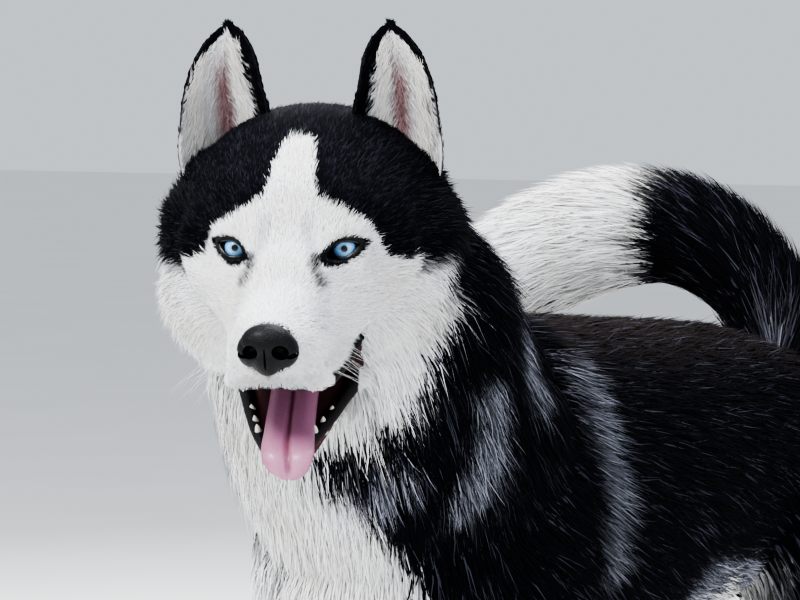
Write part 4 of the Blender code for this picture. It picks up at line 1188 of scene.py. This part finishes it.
def tufts_at(points, normals, lies, grown, colours, places, curl=0.11):
    """Everything that strands() needs, with each tuft a little unlike the next."""
    count = len(points)
    spread = CHANCE.normal(0, 0.08, (count, 3))
    lie = lies + spread
    lie = unit(lie - normals * (lie * normals).sum(axis=1)[:, None])
    size = CHANCE.uniform(0.72, 1.18, count)
    length, rise = grown["length"] * size, grown["rise"] * size * CHANCE.uniform(0.75, 1.1, count)
    width = grown["width"] * CHANCE.uniform(0.7, 1.25, count)
    roll = CHANCE.normal(0, 0.35, count)[:, None]
    flat = unit(np.cross(lie, normals))
    across = flat * np.cos(roll) + normals * np.sin(roll)
    tips = points + (lie * length[:, None] + normals * rise[:, None]) * MM
    pull = clumped(points, tips, CLUMP_PULL * CHANCE.uniform(0.4, 1.2, count))
    most = (0.35 * length * MM)[:, None]
    far = np.linalg.norm(pull, axis=1, keepdims=True)
    pull = pull * np.minimum(1, most / np.maximum(far, 1e-9))
    pull = pull + flat * (CHANCE.normal(0, curl, count) * length * MM)[:, None]
    pull = pull + reined(tips + pull)
    made = {"root": points, "normal": normals, "lie": lie, "across": across, "pull": pull}
    made.update({"length": length, "rise": rise, "width": width, "colour": colours, "uv": places})
    return made


def reined(tips):
    """Draws tips back to the tail where they leave it, and up from the floor."""
    middles, radii, _ = SPINES["tail"]
    far = np.sqrt(np.maximum((tips**2).sum(1)[:, None] + (middles**2).sum(1) - 2 * tips @ middles.T, 0))
    nearest = far.argmin(axis=1)
    off = tips - middles[nearest]
    far = np.linalg.norm(off, axis=1)
    edge = radii[nearest]
    reach = edge + CHANCE.uniform(*TAIL_FRINGE, len(tips)) * MM
    excess = np.where(far < edge + 60 * MM, np.maximum(far - reach, 0), 0)
    excess *= local(tips, BODY)[:, 2] > TAIL_LOWEST
    moved = -unit(off) * excess[:, None]
    moved[:, 2] += np.maximum(FLOOR_GAP * MM - tips[:, 2], 0)
    return moved


def coat_pieces(name, tufts):
    """The tufts as meshes, the short ones with fewer rings, none of them with too many triangles."""
    made = []
    for kind, rings, chosen in (
        ("short", SHORT_RINGS, tufts["length"] < LONG_FROM),
        ("long", LONG_RINGS, tufts["length"] >= LONG_FROM),
    ):
        indices = np.flatnonzero(chosen)
        each = 2 * (len(rings) - 2) + 1
        parts = math.ceil(len(indices) * each / MOST_TRIANGLES)
        for k, part in enumerate(np.array_split(indices, parts) if parts else ()):
            chunk = {key: value[part] for key, value in tufts.items()}
            label = f"{name}_{kind}_{k + 1}" if parts > 1 else f"{name}_{kind}"
            made.append(strands(label, chunk, rings))
    return made


ZONES = {
    "coat_head": (2, 3),
    "coat_neck": (1,),
    "coat_torso": (0,),
    "coat_legs": (4, 5, 6, 7),
    "coat_tail": (8,),
}
ZONE_SLOTS = {"coat_torso": "black_coat", "coat_tail": "grey_coat"}


def grow_coat(skin):
    """The coat over the whole skin, as pieces by zone."""
    points, normals = points_of(skin), normals_of(skin)
    depth, ways, along = nearness(points)
    belongs = shares(depth)
    grown = growth(points, normals, belongs, along)
    lies = lie_of(points, normals, shares(depth, LIE_BLUR), ways)
    paint(skin, skin_colours(points, normals, belongs, along))
    corners, weights, chosen = sample(skin, grown["density"] * (1.0))

    def at(values):
        return np.einsum("ij,ij...->i...", weights, values[corners])

    # No tuft hangs over the corner of the mouth
    reaches = at(lies) * (at(grown["length"]) * MM)[:, None]
    spots = [local(at(points) + reaches * share, HEAD) for share in (0, 0.3, 0.6, 0.9)]
    kept = np.minimum.reduce([near_line(spot, MOUTH_CORNER) for spot in spots]) > CORNER_REACH + 1.2
    corners, weights, chosen = corners[kept], weights[kept], chosen[kept]
    roots, up, lie, belong = at(points), unit(at(normals)), at(lies), at(belongs)
    size = {key: at(value) for key, value in grown.items() if key != "density"}
    chance = CHANCE.random(len(roots))
    stray = CHANCE.normal(0, 1.3, (len(roots), 3)) * (0.5 + 0.04 * size["length"])[:, None]
    spots = roots + lie * (COLOUR_AT * size["length"] * MM)[:, None]
    colours = coat_colours(spots, up, belong, at(along), chance, stray)
    places = np.einsum("ij,ijk->ik", weights, corner_map(skin)[chosen])
    tufts = tufts_at(roots, up, lie, size, colours, places)
    leading = belong.argmax(axis=1)
    made = {}
    for zone, parts in ZONES.items():
        here = np.isin(leading, parts)
        made[zone] = coat_pieces(zone, {key: value[here] for key, value in tufts.items()})
    return made


EAR_EDGES = [np.array(between(rows, 6)) for rows in (EAR_INNER, EAR_OUTER)]
EAR_ROWS = np.linspace(0, 1, len(EAR_EDGES[0]))


def ear_half(v):
    """Half the ear's width at v, in millimetres, and how much is added to round out its straight edges."""
    inner, outer = EAR_EDGES
    half = np.interp(v, EAR_ROWS, np.linalg.norm(inner - outer, axis=1) / 2)
    swell = EAR_ROUND * ramp(v, 0.3, 0.7) * np.sqrt(np.clip(1 - (np.maximum(v - 0.75, 0) / 0.25) ** 2, 0, 1))
    return half, swell


def ear_colours(u, v):
    """The hollow's colours: dusky pink in the middle, partly its skin and partly painted shade in the cup,
    pale hair about it and a black rim.
    """
    half = sum(ear_half(v))
    pale = np.maximum(ramp(np.abs(u), 0.1, 0.45), ramp(v, 0.42, 0.75))
    inner, outer = EAR_RIM
    rim = ((1 + u) * half < inner) | ((1 - u) * half < outer * ramp(v, 0.33, 0.9)) | (v > 0.84)
    return np.where(rim[:, None], np.array(BLACK), mix(EAR_PINK_AND_SHADE, EAR_HAIR, pale))


def ear_sheet(side, u, v):
    """Points of an ear's middle sheet in the head's frame; u runs from edge to edge, v to the tip."""
    inner, outer = (
        np.stack([np.interp(v, EAR_ROWS, edge[:, k]) for k in range(3)], axis=-1) for edge in EAR_EDGES
    )
    cup = EAR_CUP * (1 - u * u) * (1 - v) ** 0.7 * np.linalg.norm(inner - outer, axis=-1) / EAR_WIDTH
    half, swell = ear_half(v)
    wider = u / 2 * (half + swell) / np.maximum(half, 0.5)
    found = (inner + outer) / 2 + (outer - inner) * wider[..., None]
    found[..., 1] += cup
    found[..., 0] *= side
    return found


def ear_surface(side, u, v):
    """Points of an ear's middle sheet in the scene, and which way its hollow faces there."""
    u, v = np.asarray(u, float), np.clip(np.asarray(v, float), 0, 0.999)
    step = 0.004
    low = np.minimum(v, 1 - 2 * step)
    over = ear_sheet(side, u + step, low) - ear_sheet(side, u - step, low)
    face = unit(np.cross(over, ear_sheet(side, u, low + step) - ear_sheet(side, u, low)))
    face *= np.where(face[..., 1:2] > 0, -1, 1)
    return placed(ear_sheet(side, u, v), HEAD), turned(face, HEAD)


def outline(grid):
    """The edge of a grid of vertices, once round."""
    return [row[0] for row in grid] + grid[-1][1:] + [row[-1] for row in grid[-2::-1]] + grid[0][-2:0:-1]


def ear_skin(name, side):
    """The ear's own cupped skin, thin at its rim."""
    across, up = EAR_GRID
    u, v = np.meshgrid(np.linspace(-1, 1, across), np.sin(np.linspace(0, math.pi / 2, up)))
    thick = EAR_SHEET * (0.35 + 0.65 * np.sqrt(np.maximum(1 - u * u, 0))) * (1 - 0.5 * v)
    points, face = ear_surface(side, u, v)
    half = face * (thick * 0.5 * MM)[..., None]
    bm = bmesh.new()
    layers = [(points + half * way).tolist() for way in (1, -1)]
    grids = [[[bm.verts.new(spot) for spot in row] for row in layer] for layer in layers]
    for grid in grids:
        for a, b in zip(grid, grid[1:]):
            for k in range(across - 1):
                bm.faces.new((a[k], a[k + 1], b[k + 1], b[k]))
    bridge(bm, *(outline(grid) for grid in grids))
    bmesh.ops.triangulate(bm, faces=bm.faces)
    made = put(bm, name)
    made.data.shade_smooth()
    unwrap(made)
    inside = (normals_of(made) * ear_surface(side, np.zeros(1), np.zeros(1))[1]).sum(axis=1) > 0.1
    hollow = ear_colours(np.tile(u.ravel(), 2), np.tile(v.ravel(), 2))
    paint(made, np.where(inside[:, None], hollow, np.array(BLACK)))
    return made


def map_places(roots, target):
    """Each root's place on the target's map, at the middle of the nearest triangle."""
    middles = points_of(target)[triangles_of(target)].mean(axis=1)
    tree = KDTree(len(middles))
    for index, middle in enumerate(middles):
        tree.insert(middle, index)
    tree.balance()
    nearest = np.array([tree.find(root)[1] for root in roots])
    return corner_map(target)[nearest].mean(axis=1)


def ear_coat(name, side, skin):
    """Short black hair behind the ear and on its rim, and long white hair in its cup."""
    count = EAR_TUFTS
    blocks = []
    for kind, (share, long, wide, high) in EAR_HAIRS.items():
        many = int(count * share)
        u, v = CHANCE.uniform(-1, 1, many), CHANCE.random(many) ** 1.15
        if kind == "edge":
            u = np.sign(u) * CHANCE.uniform(0.93, 1.0, many)
        roots, face = ear_surface(side, u, v)
        ahead, _ = ear_surface(side, u * 0.985, np.minimum(v + 0.05, 0.999))
        lie = unit(ahead - roots)
        normal = face if kind == "front" else -face
        roots = roots + normal * (0.4 * MM)
        chance = CHANCE.random(many)
        if kind == "back":
            colours = mix(BLACK, BROWN, 0.3 * chance)
        elif kind == "front":
            inward = ear_surface(side, u * 0.6, v)[0] - roots
            lie = unit(lie + 0.4 * unit(inward))
            colours = ear_colours(u, v) * (0.85 + 0.3 * chance)[:, None]
        else:
            outer_side = CHANCE.random(many) < 0.62
            normal = np.where(outer_side[:, None], normal, face)
            colours = mix(ear_colours(u, v), BLACK, 0.25 * chance)
        shrink = 1 - 0.35 * v
        sizes = {"length": long * shrink, "width": np.full(many, wide), "rise": high * shrink}
        blocks.append((roots, normal, lie, sizes, colours))
    # Long hair rooted along the inner edge and the notch below, standing across the cup
    share, long, wide, high = EAR_LONG_HAIR
    many = int(count * share)
    v = CHANCE.random(many) ** 1.3 * 0.64
    at_inner = CHANCE.random(many) < 0.55
    u = np.where(at_inner, CHANCE.uniform(-0.72, -0.45, many), CHANCE.uniform(0.66, 0.93, many))
    roots, face = ear_surface(side, u, v)
    target, _ = ear_surface(side, u * 0.25, np.minimum(v + 0.22, 0.99))
    upward = turned(np.array((0.0, 0.0, 1.0)), HEAD)
    lie = unit(unit(target - roots) + 0.5 * upward + 0.25 * face)
    sizes = {"length": long * (1 - 0.55 * v), "width": np.full(many, wide), "rise": high * (1 - 0.4 * v)}
    blocks.append((roots, face, lie, sizes, mix(EAR_HAIR, CREAM, CHANCE.random(many))))
    roots, normal, lie, colours = (np.concatenate([block[k] for block in blocks]) for k in (0, 1, 2, 4))
    sizes = {key: np.concatenate([block[3][key] for block in blocks]) for key in ("length", "width", "rise")}
    tufts = tufts_at(roots, normal, lie, sizes, colours, map_places(roots, skin), curl=0.08)
    return strands(name, tufts, SHORT_RINGS)


def shader_of(name, sockets):
    """A material, its tree and its Principled shader, with values set on the shader's own sockets."""
    material = bpy.data.materials.new(name)
    material.use_nodes = True
    tree = material.node_tree
    shader = tree.nodes["Principled BSDF"]
    for socket, value in sockets.items():
        shader.inputs[socket].default_value = value
    return material, tree, shader


def feed(tree, kind, inputs, output=0, **settings):
    """An output of a new node, whose inputs are values or outputs of other nodes."""
    made = tree.nodes.new("ShaderNode" + kind)
    for key, value in settings.items():
        setattr(made, key, value)
    for key, value in inputs.items():
        if isinstance(value, bpy.types.NodeSocket):
            tree.links.new(value, made.inputs[key])
        else:
            made.inputs[key].default_value = value
    return made.outputs[output]


def set_stops(ramp_output, stops):
    """Gives a colour ramp its stops, each a place from 0 to 1 and a colour."""
    elements = ramp_output.node.color_ramp.elements
    while len(elements) < len(stops):
        elements.new(0.5)
    for element, (position, colour) in zip(elements, stops):
        element.position = position
        element.color = (*colour, 1)


def add_bumps(tree, shader, scale, distance, strength=1.0, pattern="TexNoise"):
    """Fine unevenness, sized in metres, in the shader's normal; gives the pattern's height."""
    place = feed(tree, "TexCoord", {}, "Object")
    height = feed(tree, pattern, {"Vector": place, "Scale": scale, "Detail": 4.0})
    bump = {"Strength": strength, "Distance": distance, "Height": height}
    tree.links.new(feed(tree, "Bump", bump), shader.inputs["Normal"])
    return height


def painted_material(name, sockets, scale, low, high, *bumps):
    """A material of the painted colour, varied a little from hair to hair by noise."""
    material, tree, shader = shader_of(name, sockets)
    place = feed(tree, "TexCoord", {}, "Object")
    noise = feed(tree, "TexNoise", {"Vector": place, "Scale": scale, "Detail": 2.0})
    spread = feed(tree, "MapRange", {"Value": noise, "To Min": low, "To Max": high})
    colour = feed(tree, "VertexColor", {}, layer_name="coat")
    scaled = feed(tree, "VectorMath", {0: colour, "Scale": spread}, operation="SCALE")
    tree.links.new(scaled, shader.inputs["Base Color"])
    if bumps:
        add_bumps(tree, shader, *bumps)
    return material


def plain_material(name, colour, roughness, scale, distance, spread=0.18, coat=0.0):
    """A material with slight mottling in its colour and fine bumps."""
    sockets = {"Roughness": roughness, "Coat Weight": coat, "Coat Roughness": 0.12}
    material, tree, shader = shader_of(name, sockets)
    height = add_bumps(tree, shader, scale, distance)
    mottled = feed(tree, "ValToRGB", {"Fac": height})
    dark, light = ([min(c * (1 + change), 1) for c in colour] for change in (-spread, spread))
    set_stops(mottled, ((0.3, dark), (0.7, light)))
    tree.links.new(mottled, shader.inputs["Base Color"])
    return material


# Materials of the painted colour: values of the shader, then the noise's scale and least and most share
# of the colour, then the scale, depth and strength of its bumps, if any
FUR = ({"Roughness": 0.95, "Specular IOR Level": 0.2, "IOR": 1.3}, 900.0, 0.82, 1.12)
SKIN = ({"Roughness": 0.5, "Specular IOR Level": 0.2}, 500.0, 0.8, 1.15, 1400.0, 0.0006)
MOIST = {"Coat Weight": 0.25, "Coat Roughness": 0.2, "Subsurface Weight": 0.1, "Subsurface Scale": 0.003}
TONGUE_FLESH = ({"Roughness": 0.42, **MOIST}, 600.0, 0.85, 1.12, 1500.0, 0.0005, 0.8)
NOSE_LEATHER = {
    "Base Color": (0.004, 0.004, 0.005, 1),
    "Roughness": 0.36,
    "Specular IOR Level": 0.22,
    "Coat Weight": 0.06,
    "Coat Roughness": 0.2,
}
WET_EYE = {"Roughness": 0.35, "Specular IOR Level": 0.15, "Coat Weight": 1.0, "Coat Roughness": 0.03}
# The rings of the iris: how far from its middle, in millimetres, and the colour there
IRIS_RINGS = (
    (0.0, (0.002, 0.002, 0.003)),
    (PUPIL, (0.002, 0.002, 0.003)),
    (PUPIL + 0.3, (0.16, 0.34, 0.55)),
    (3.8, (0.30, 0.55, 0.82)),
    (5.2, (0.24, 0.48, 0.80)),
    (IRIS - 0.45, (0.10, 0.24, 0.48)),
    (IRIS, (0.010, 0.016, 0.030)),
    (IRIS + 0.5, (0.010, 0.008, 0.008)),
    (9.7, (0.035, 0.026, 0.024)),
)
RINGS_OVER = 10.0


def nose_material():
    """Black leather with the fine cobbles of a dog's nose, moist."""
    material, tree, shader = shader_of("nose_leather", NOSE_LEATHER)
    add_bumps(tree, shader, 800.0, 0.0005, 0.6, "TexVoronoi")
    return material


def eye_material():
    """A pale blue iris with a dark rim and fine rays round a small pupil, in a wet eyeball."""
    material, tree, shader = shader_of("iris_blue", WET_EYE)
    place = feed(tree, "TexCoord", {}, "Object")
    across, up = (feed(tree, "SeparateXYZ", {"Vector": place}, axis) for axis in ("X", "Z"))
    flat = feed(tree, "CombineXYZ", {"X": across, "Y": up})
    radius = feed(tree, "VectorMath", {0: flat}, "Value", operation="LENGTH")
    share = feed(tree, "Math", {0: radius, 1: RINGS_OVER * MM}, operation="DIVIDE")
    rings = feed(tree, "ValToRGB", {"Fac": share})
    set_stops(rings, [(far / RINGS_OVER, colour) for far, colour in IRIS_RINGS])
    angle = feed(tree, "Math", {0: up, 1: across}, operation="ARCTAN2")
    spokes = feed(tree, "CombineXYZ", {"X": angle, "Y": share})
    rays = feed(tree, "TexNoise", {"Vector": spokes, "Scale": 9.0, "Detail": 3.0})
    limits = {"From Min": 0.3, "From Max": 0.7, "To Min": 0.72, "To Max": 1.3}
    spread = feed(tree, "MapRange", {"Value": rays, **limits})
    scaled = feed(tree, "VectorMath", {0: rings, "Scale": spread}, operation="SCALE")
    tree.links.new(scaled, shader.inputs["Base Color"])
    return material


def eyeball(name, side):
    """An eyeball that looks at the camera, with the cornea's slight bulge over its iris."""
    x, y, z = EYE_MIDDLE
    middle = HEAD @ (Vector((x * side, y, z)) * MM)
    ahead = (eye_gaze(side).to_3x3() @ Vector((0, -1, 0))).normalized()
    gaze = ((bpy.context.scene.camera.location - middle).normalized() + ahead) / 2
    turn = gaze.to_track_quat("-Y", "Z").to_matrix().to_4x4()
    bm = bmesh.new()
    upright = Matrix.Rotation(math.pi / 2, 4, "X")
    bmesh.ops.create_uvsphere(bm, u_segments=64, v_segments=48, radius=1, matrix=upright)
    for vertex in bm.verts:
        reach = math.hypot(vertex.co.x, vertex.co.z) * EYE_RADIUS
        swell = CORNEA * (1 - min(reach / (IRIS + 0.6), 1) ** 2) if vertex.co.y < 0 else 0
        vertex.co = vertex.co * (EYE_RADIUS * MM)
        vertex.co.y -= swell * MM
    made = put(bm, name)
    made.data.shade_smooth()
    made.matrix_world = Matrix.Translation(middle) @ turn
    return made


def ribbon(name, points, radius, sides=10, closed=False):
    """A round tube along points, tapered where radius is a list."""
    count = len(points)
    radii = radius if isinstance(radius, (list, tuple, np.ndarray)) else [radius] * count
    rings = []
    side = None
    for k, point in enumerate(points):
        ahead = points[(k + 1) % count] if closed else points[min(k + 1, count - 1)]
        behind = points[k - 1] if closed or k else points[0]
        along = (ahead - behind).normalized()
        side = (side or along.orthogonal()) - along * (side or along.orthogonal()).dot(along)
        side.normalize()
        up = along.cross(side)
        angles = [2 * math.pi * n / sides for n in range(sides)]
        rings.append([point + (side * math.cos(a) + up * math.sin(a)) * radii[k] for a in angles])
    made = loft(name, rings, closed)
    made.data.shade_smooth()
    return made


def lid_rim(name, side):
    """The black edge of the lids, all round the eye's opening."""
    reach, off, radius = LID_RIM
    return ribbon(name, almond(side, reach, EYE_RADIUS + off, 48), radius * MM, closed=True)


def nose():
    """The leather of the nose with its nostrils and the groove between them."""
    made = joined([blob("nose_blob", middle, radii, HEAD) for middle, radii in NOSE_BLOBS], "nose_pad")
    fuse(made, 0.9, 8)
    holes = []
    for side in SIDES.values():
        for (x, y, z), radii, turn in (NOSTRIL, NOSE_SLIT):
            place = HEAD @ Matrix.Translation(Vector((x * side, y, z)) * MM)
            holes.append(blob("hole", (0, 0, 0), radii, place @ Matrix.Rotation(turn * side, 4, "Y")))
    holes.append(blob("groove", *NOSE_GROOVE, HEAD))
    boolean(made, holes, "DIFFERENCE")
    smooth = made.modifiers.new("smooth", "SMOOTH")
    smooth.iterations = 2
    bake_modifiers(made)
    made.data.shade_smooth()
    return made


def tongue():
    """The tongue, with its edges raised and a groove along its middle."""
    made = tube("tongue_flesh", TONGUE, HEAD, sides=88, steps=12, power=2.3)
    points, normals = points_of(made), normals_of(made)
    spots = local(points, HEAD)
    rows = np.array(between(TONGUE, 12))
    nearest = np.linalg.norm(spots[:, None, 1:3] - rows[None, :, 1:3], axis=2).argmin(axis=1)
    off = (spots[:, 0] - rows[nearest, 0]) / np.maximum(rows[nearest, 3], 1)
    upper = ramp(spots[:, 2] - rows[nearest, 2] - 0.35 * (spots[:, 1] - rows[nearest, 1]), -0.5, 1.5)
    groove = np.exp(-((off / 0.11) ** 2)) * upper * (1 - ramp(nearest, 0.80 * len(rows), 0.97 * len(rows)))
    lift = TONGUE_EDGES * upper * np.exp(-(((np.abs(off) - 0.55) / 0.3) ** 2)) - TONGUE_GROOVE * groove
    move_points(made, points + normals * (lift * MM)[:, None])
    # Painted shade: the tongue is darker in its groove; it is also darker towards its sides
    edge = ramp(np.abs(off), 0.7, 1.0)
    paint(made, mix(mix(TONGUE_PINK, TONGUE_DARK, 0.75 * groove), TONGUE_DARK, 0.25 * edge))
    made.data.shade_smooth()
    return made


def tooth(root, tip, radius):
    """A tooth: a slim cone, a little hooked, with a rounded end."""
    points, radii = [], []
    for k in range(9):
        share = k / 8
        points.append(root.lerp(tip, share) + HEAD.to_3x3() @ Vector((0, 1.6 * MM * share * (share - 1), 0)))
        radii.append(radius * (1 - share**1.6) ** 0.6 + 0.02 * radius)
    return ribbon("tooth", points, radii, sides=12)


def teeth():
    """Every tooth that shows, as one piece in each jaw."""
    made = []
    for name, rows, place, up in (
        ("teeth_lower", LOWER_TEETH, JAW_AT, 1),
        ("teeth_upper", UPPER_TEETH, HEAD, -1),
    ):
        cones = []
        for x, y, z, radius, height in rows:
            for side in SIDES.values():
                root = place @ (Vector((x * side, y, z - TOOTH_ROOT * up)) * MM)
                tip = place @ (Vector((x * side * 1.06, y - 0.12 * height, z + up * height)) * MM)
                cones.append(tooth(root, tip, radius * MM))
        made.append(joined(cones, name))
        made[-1].data.shade_smooth()
    return made


def claws(leg):
    """The four bent claws of a paw."""
    pair, side = leg.split("_")
    x, y = PAW_MIDDLE[pair]
    made = []
    for across, ahead in zip(TOE_ACROSS, TOE_AHEAD):
        middle = ((x + across) * SIDES[side], y + STEP[leg] + ahead)
        rows = [(middle[0], middle[1] - far, 10 + up, radius) for far, up, radius in CLAW]
        made.append(tube("claw", round_rows(rows), BODY, sides=14, steps=6))
    made = joined(made, f"claws_{leg}")
    made.data.shade_smooth()
    return made


def whiskers():
    """Fine white bristles on the upper lips, swept back and down."""
    made = []
    chance = np.random.default_rng(5)
    radii = np.linspace(*WHISKER_RADII, 8) * MM
    for side in SIDES.values():
        for y, z, count in WHISKER_ROWS:
            for k in range(count):
                root = np.array((0, y + 7 * k, z - 1.5 * k)) + chance.normal(0, 1.2, 3)
                root[0] = side * np.interp(root[1], *MUZZLE_HALF)
                length = chance.uniform(*WHISKER_LENGTH)
                sweep = np.array((side * 0.95, 0.18 + 0.1 * k, -0.30 - 0.12 * k))
                way = unit(sweep + chance.normal(0, 0.12, 3))
                path = []
                for share in np.linspace(0, 1, 8):
                    spot = root + way * length * share + np.array((0, 9, -13)) * share**2 * length / 50
                    path.append(HEAD @ (Vector(spot) * MM))
                made.append(ribbon("whisker", path, radii, sides=4))
    return joined(made, "whiskers")


def make_camera():
    """The photograph's camera, a little above the eyes and about two and a half metres off."""
    width, height = PICTURE
    focal = PIXELS_PER_METRE * VIEW_DISTANCE
    rise = math.atan((EYES_IN_PICTURE[1] - HORIZON_ROW) / focal)
    a = VIEW_BEARING
    back = Vector((math.sin(a) * math.cos(rise), -math.cos(a) * math.cos(rise), math.sin(rise)))
    made = bpy.data.objects.new("camera", bpy.data.cameras.new("camera"))
    bpy.context.scene.collection.objects.link(made)
    made.location = EYES + back * VIEW_DISTANCE
    pitch = math.atan((height / 2 - HORIZON_ROW) / focal)
    swing = math.atan((width / 2 - EYES_IN_PICTURE[0]) / focal)
    made.rotation_euler = Euler((math.pi / 2 - pitch, 0, a - swing))
    made.data.sensor_width = 36
    made.data.lens = focal / width * 36
    bpy.context.scene.camera = made


# The lamps: where each is from the eyes, its size in metres, its power and its colour
LAMPS = {
    "key": ((-0.5, -2.0, 1.9), 1.2, 82, (1, 1, 1)),
    "fill": ((2.6, -0.9, 0.7), 2.0, 17, (0.88, 0.94, 1)),
    "top": ((0.2, 0.7, 2.2), 1.8, 60, (0.95, 0.98, 1)),
    "rim": ((-1.9, 1.9, 1.4), 1.4, 50, (1, 1, 1)),
}


def make_studio():
    """A pale floor, soft lamps and a pale surround."""
    bm = bmesh.new()
    bmesh.ops.create_grid(bm, x_segments=2, y_segments=2, size=20)
    floor = put(bm, "floor")
    floor.data.materials.append(plain_material("floor", FLOOR, 0.85, 3.0, 0.001, spread=0.02))
    world = bpy.data.worlds.new("studio")
    bpy.context.scene.world = world
    world.use_nodes = True
    world.node_tree.nodes["Background"].inputs["Color"].default_value = (0.84, 0.89, 0.96, 1)
    world.node_tree.nodes["Background"].inputs["Strength"].default_value = 0.55
    chest = EYES + Vector((0, 0.15, -0.1))
    for name, (place, size, power, colour) in LAMPS.items():
        lamp = bpy.data.lights.new(name, "AREA")
        lamp.shape = "DISK"
        lamp.size = size
        lamp.energy = power
        lamp.color = colour
        made = bpy.data.objects.new(name, lamp)
        bpy.context.scene.collection.objects.link(made)
        made.location = EYES + Vector(place)
        made.rotation_euler = (chest - made.location).to_track_quat("-Z", "Y").to_euler()
    view = bpy.context.scene.view_settings
    view.view_transform = "AgX"
    view.look = "AgX - High Contrast"
    view.exposure = 0.3


def wear(target, material, slot, *nodes):
    """Gives a piece its material, lets it ride on the one body and stand for nodes; slot is not used."""
    target.data.materials.clear()
    target.data.materials.append(material)
    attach(target, "root")
    if nodes:
        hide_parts(*nodes)


def main():
    """The whole dog in its studio, each piece with its material and the nodes it stands for."""
    make_camera()
    make_studio()
    fur, skin_look = painted_material("fur", *FUR), painted_material("skin", *SKIN)
    eye_look = eye_material()
    lip_black = plain_material("lid_black", LEATHER, 0.4, 900, 0.0003, coat=0.25)
    tooth_look = plain_material("tooth", TOOTH, 0.3, 300, 0.0001, coat=0.3)
    claw_look = plain_material("claw_horn", HORN, 0.35, 500, 0.0002)
    bristle = plain_material("bristle", BRISTLE, 0.4, 500, 0.0001)
    own = {"eye_left", "eye_right", "nose", "tongue", "ear_left", "ear_right"}
    flesh_nodes = [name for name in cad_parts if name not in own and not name.startswith("claw")]
    skin = make_skin()
    coat = grow_coat(skin)
    wear(skin, skin_look, "white_coat", *flesh_nodes)
    for zone, pieces in coat.items():
        for piece in pieces:
            wear(piece, fur, ZONE_SLOTS.get(zone, "white_coat"))
    for label, side in SIDES.items():
        wear(eyeball(f"eyeball_{label}", side), eye_look, "iris_blue", f"eye_{label}")
        wear(lid_rim(f"lid_rim_{label}", side), lip_black, "nose_leather")
        ear = ear_skin(f"ear_skin_{label}", side)
        hair = ear_coat(f"coat_ear_{label}", side, ear)
        wear(ear, skin_look, "black_coat", f"ear_{label}")
        wear(hair, fur, "black_coat")
    wear(nose(), nose_material(), "nose_leather", "nose")
    wear(tongue(), painted_material("tongue_pink", *TONGUE_FLESH), "tongue_pink", "tongue")
    for piece in teeth():
        wear(piece, tooth_look, "white_coat")
    wear(whiskers(), bristle, "white_coat")
    for leg in STEP:
        nodes = [f"claw_{leg}_{k}" for k in (1, 2, 3, 4)]
        wear(claws(leg), claw_look, "claw_horn", *nodes)


main()
bpy.context.view_layer.update()
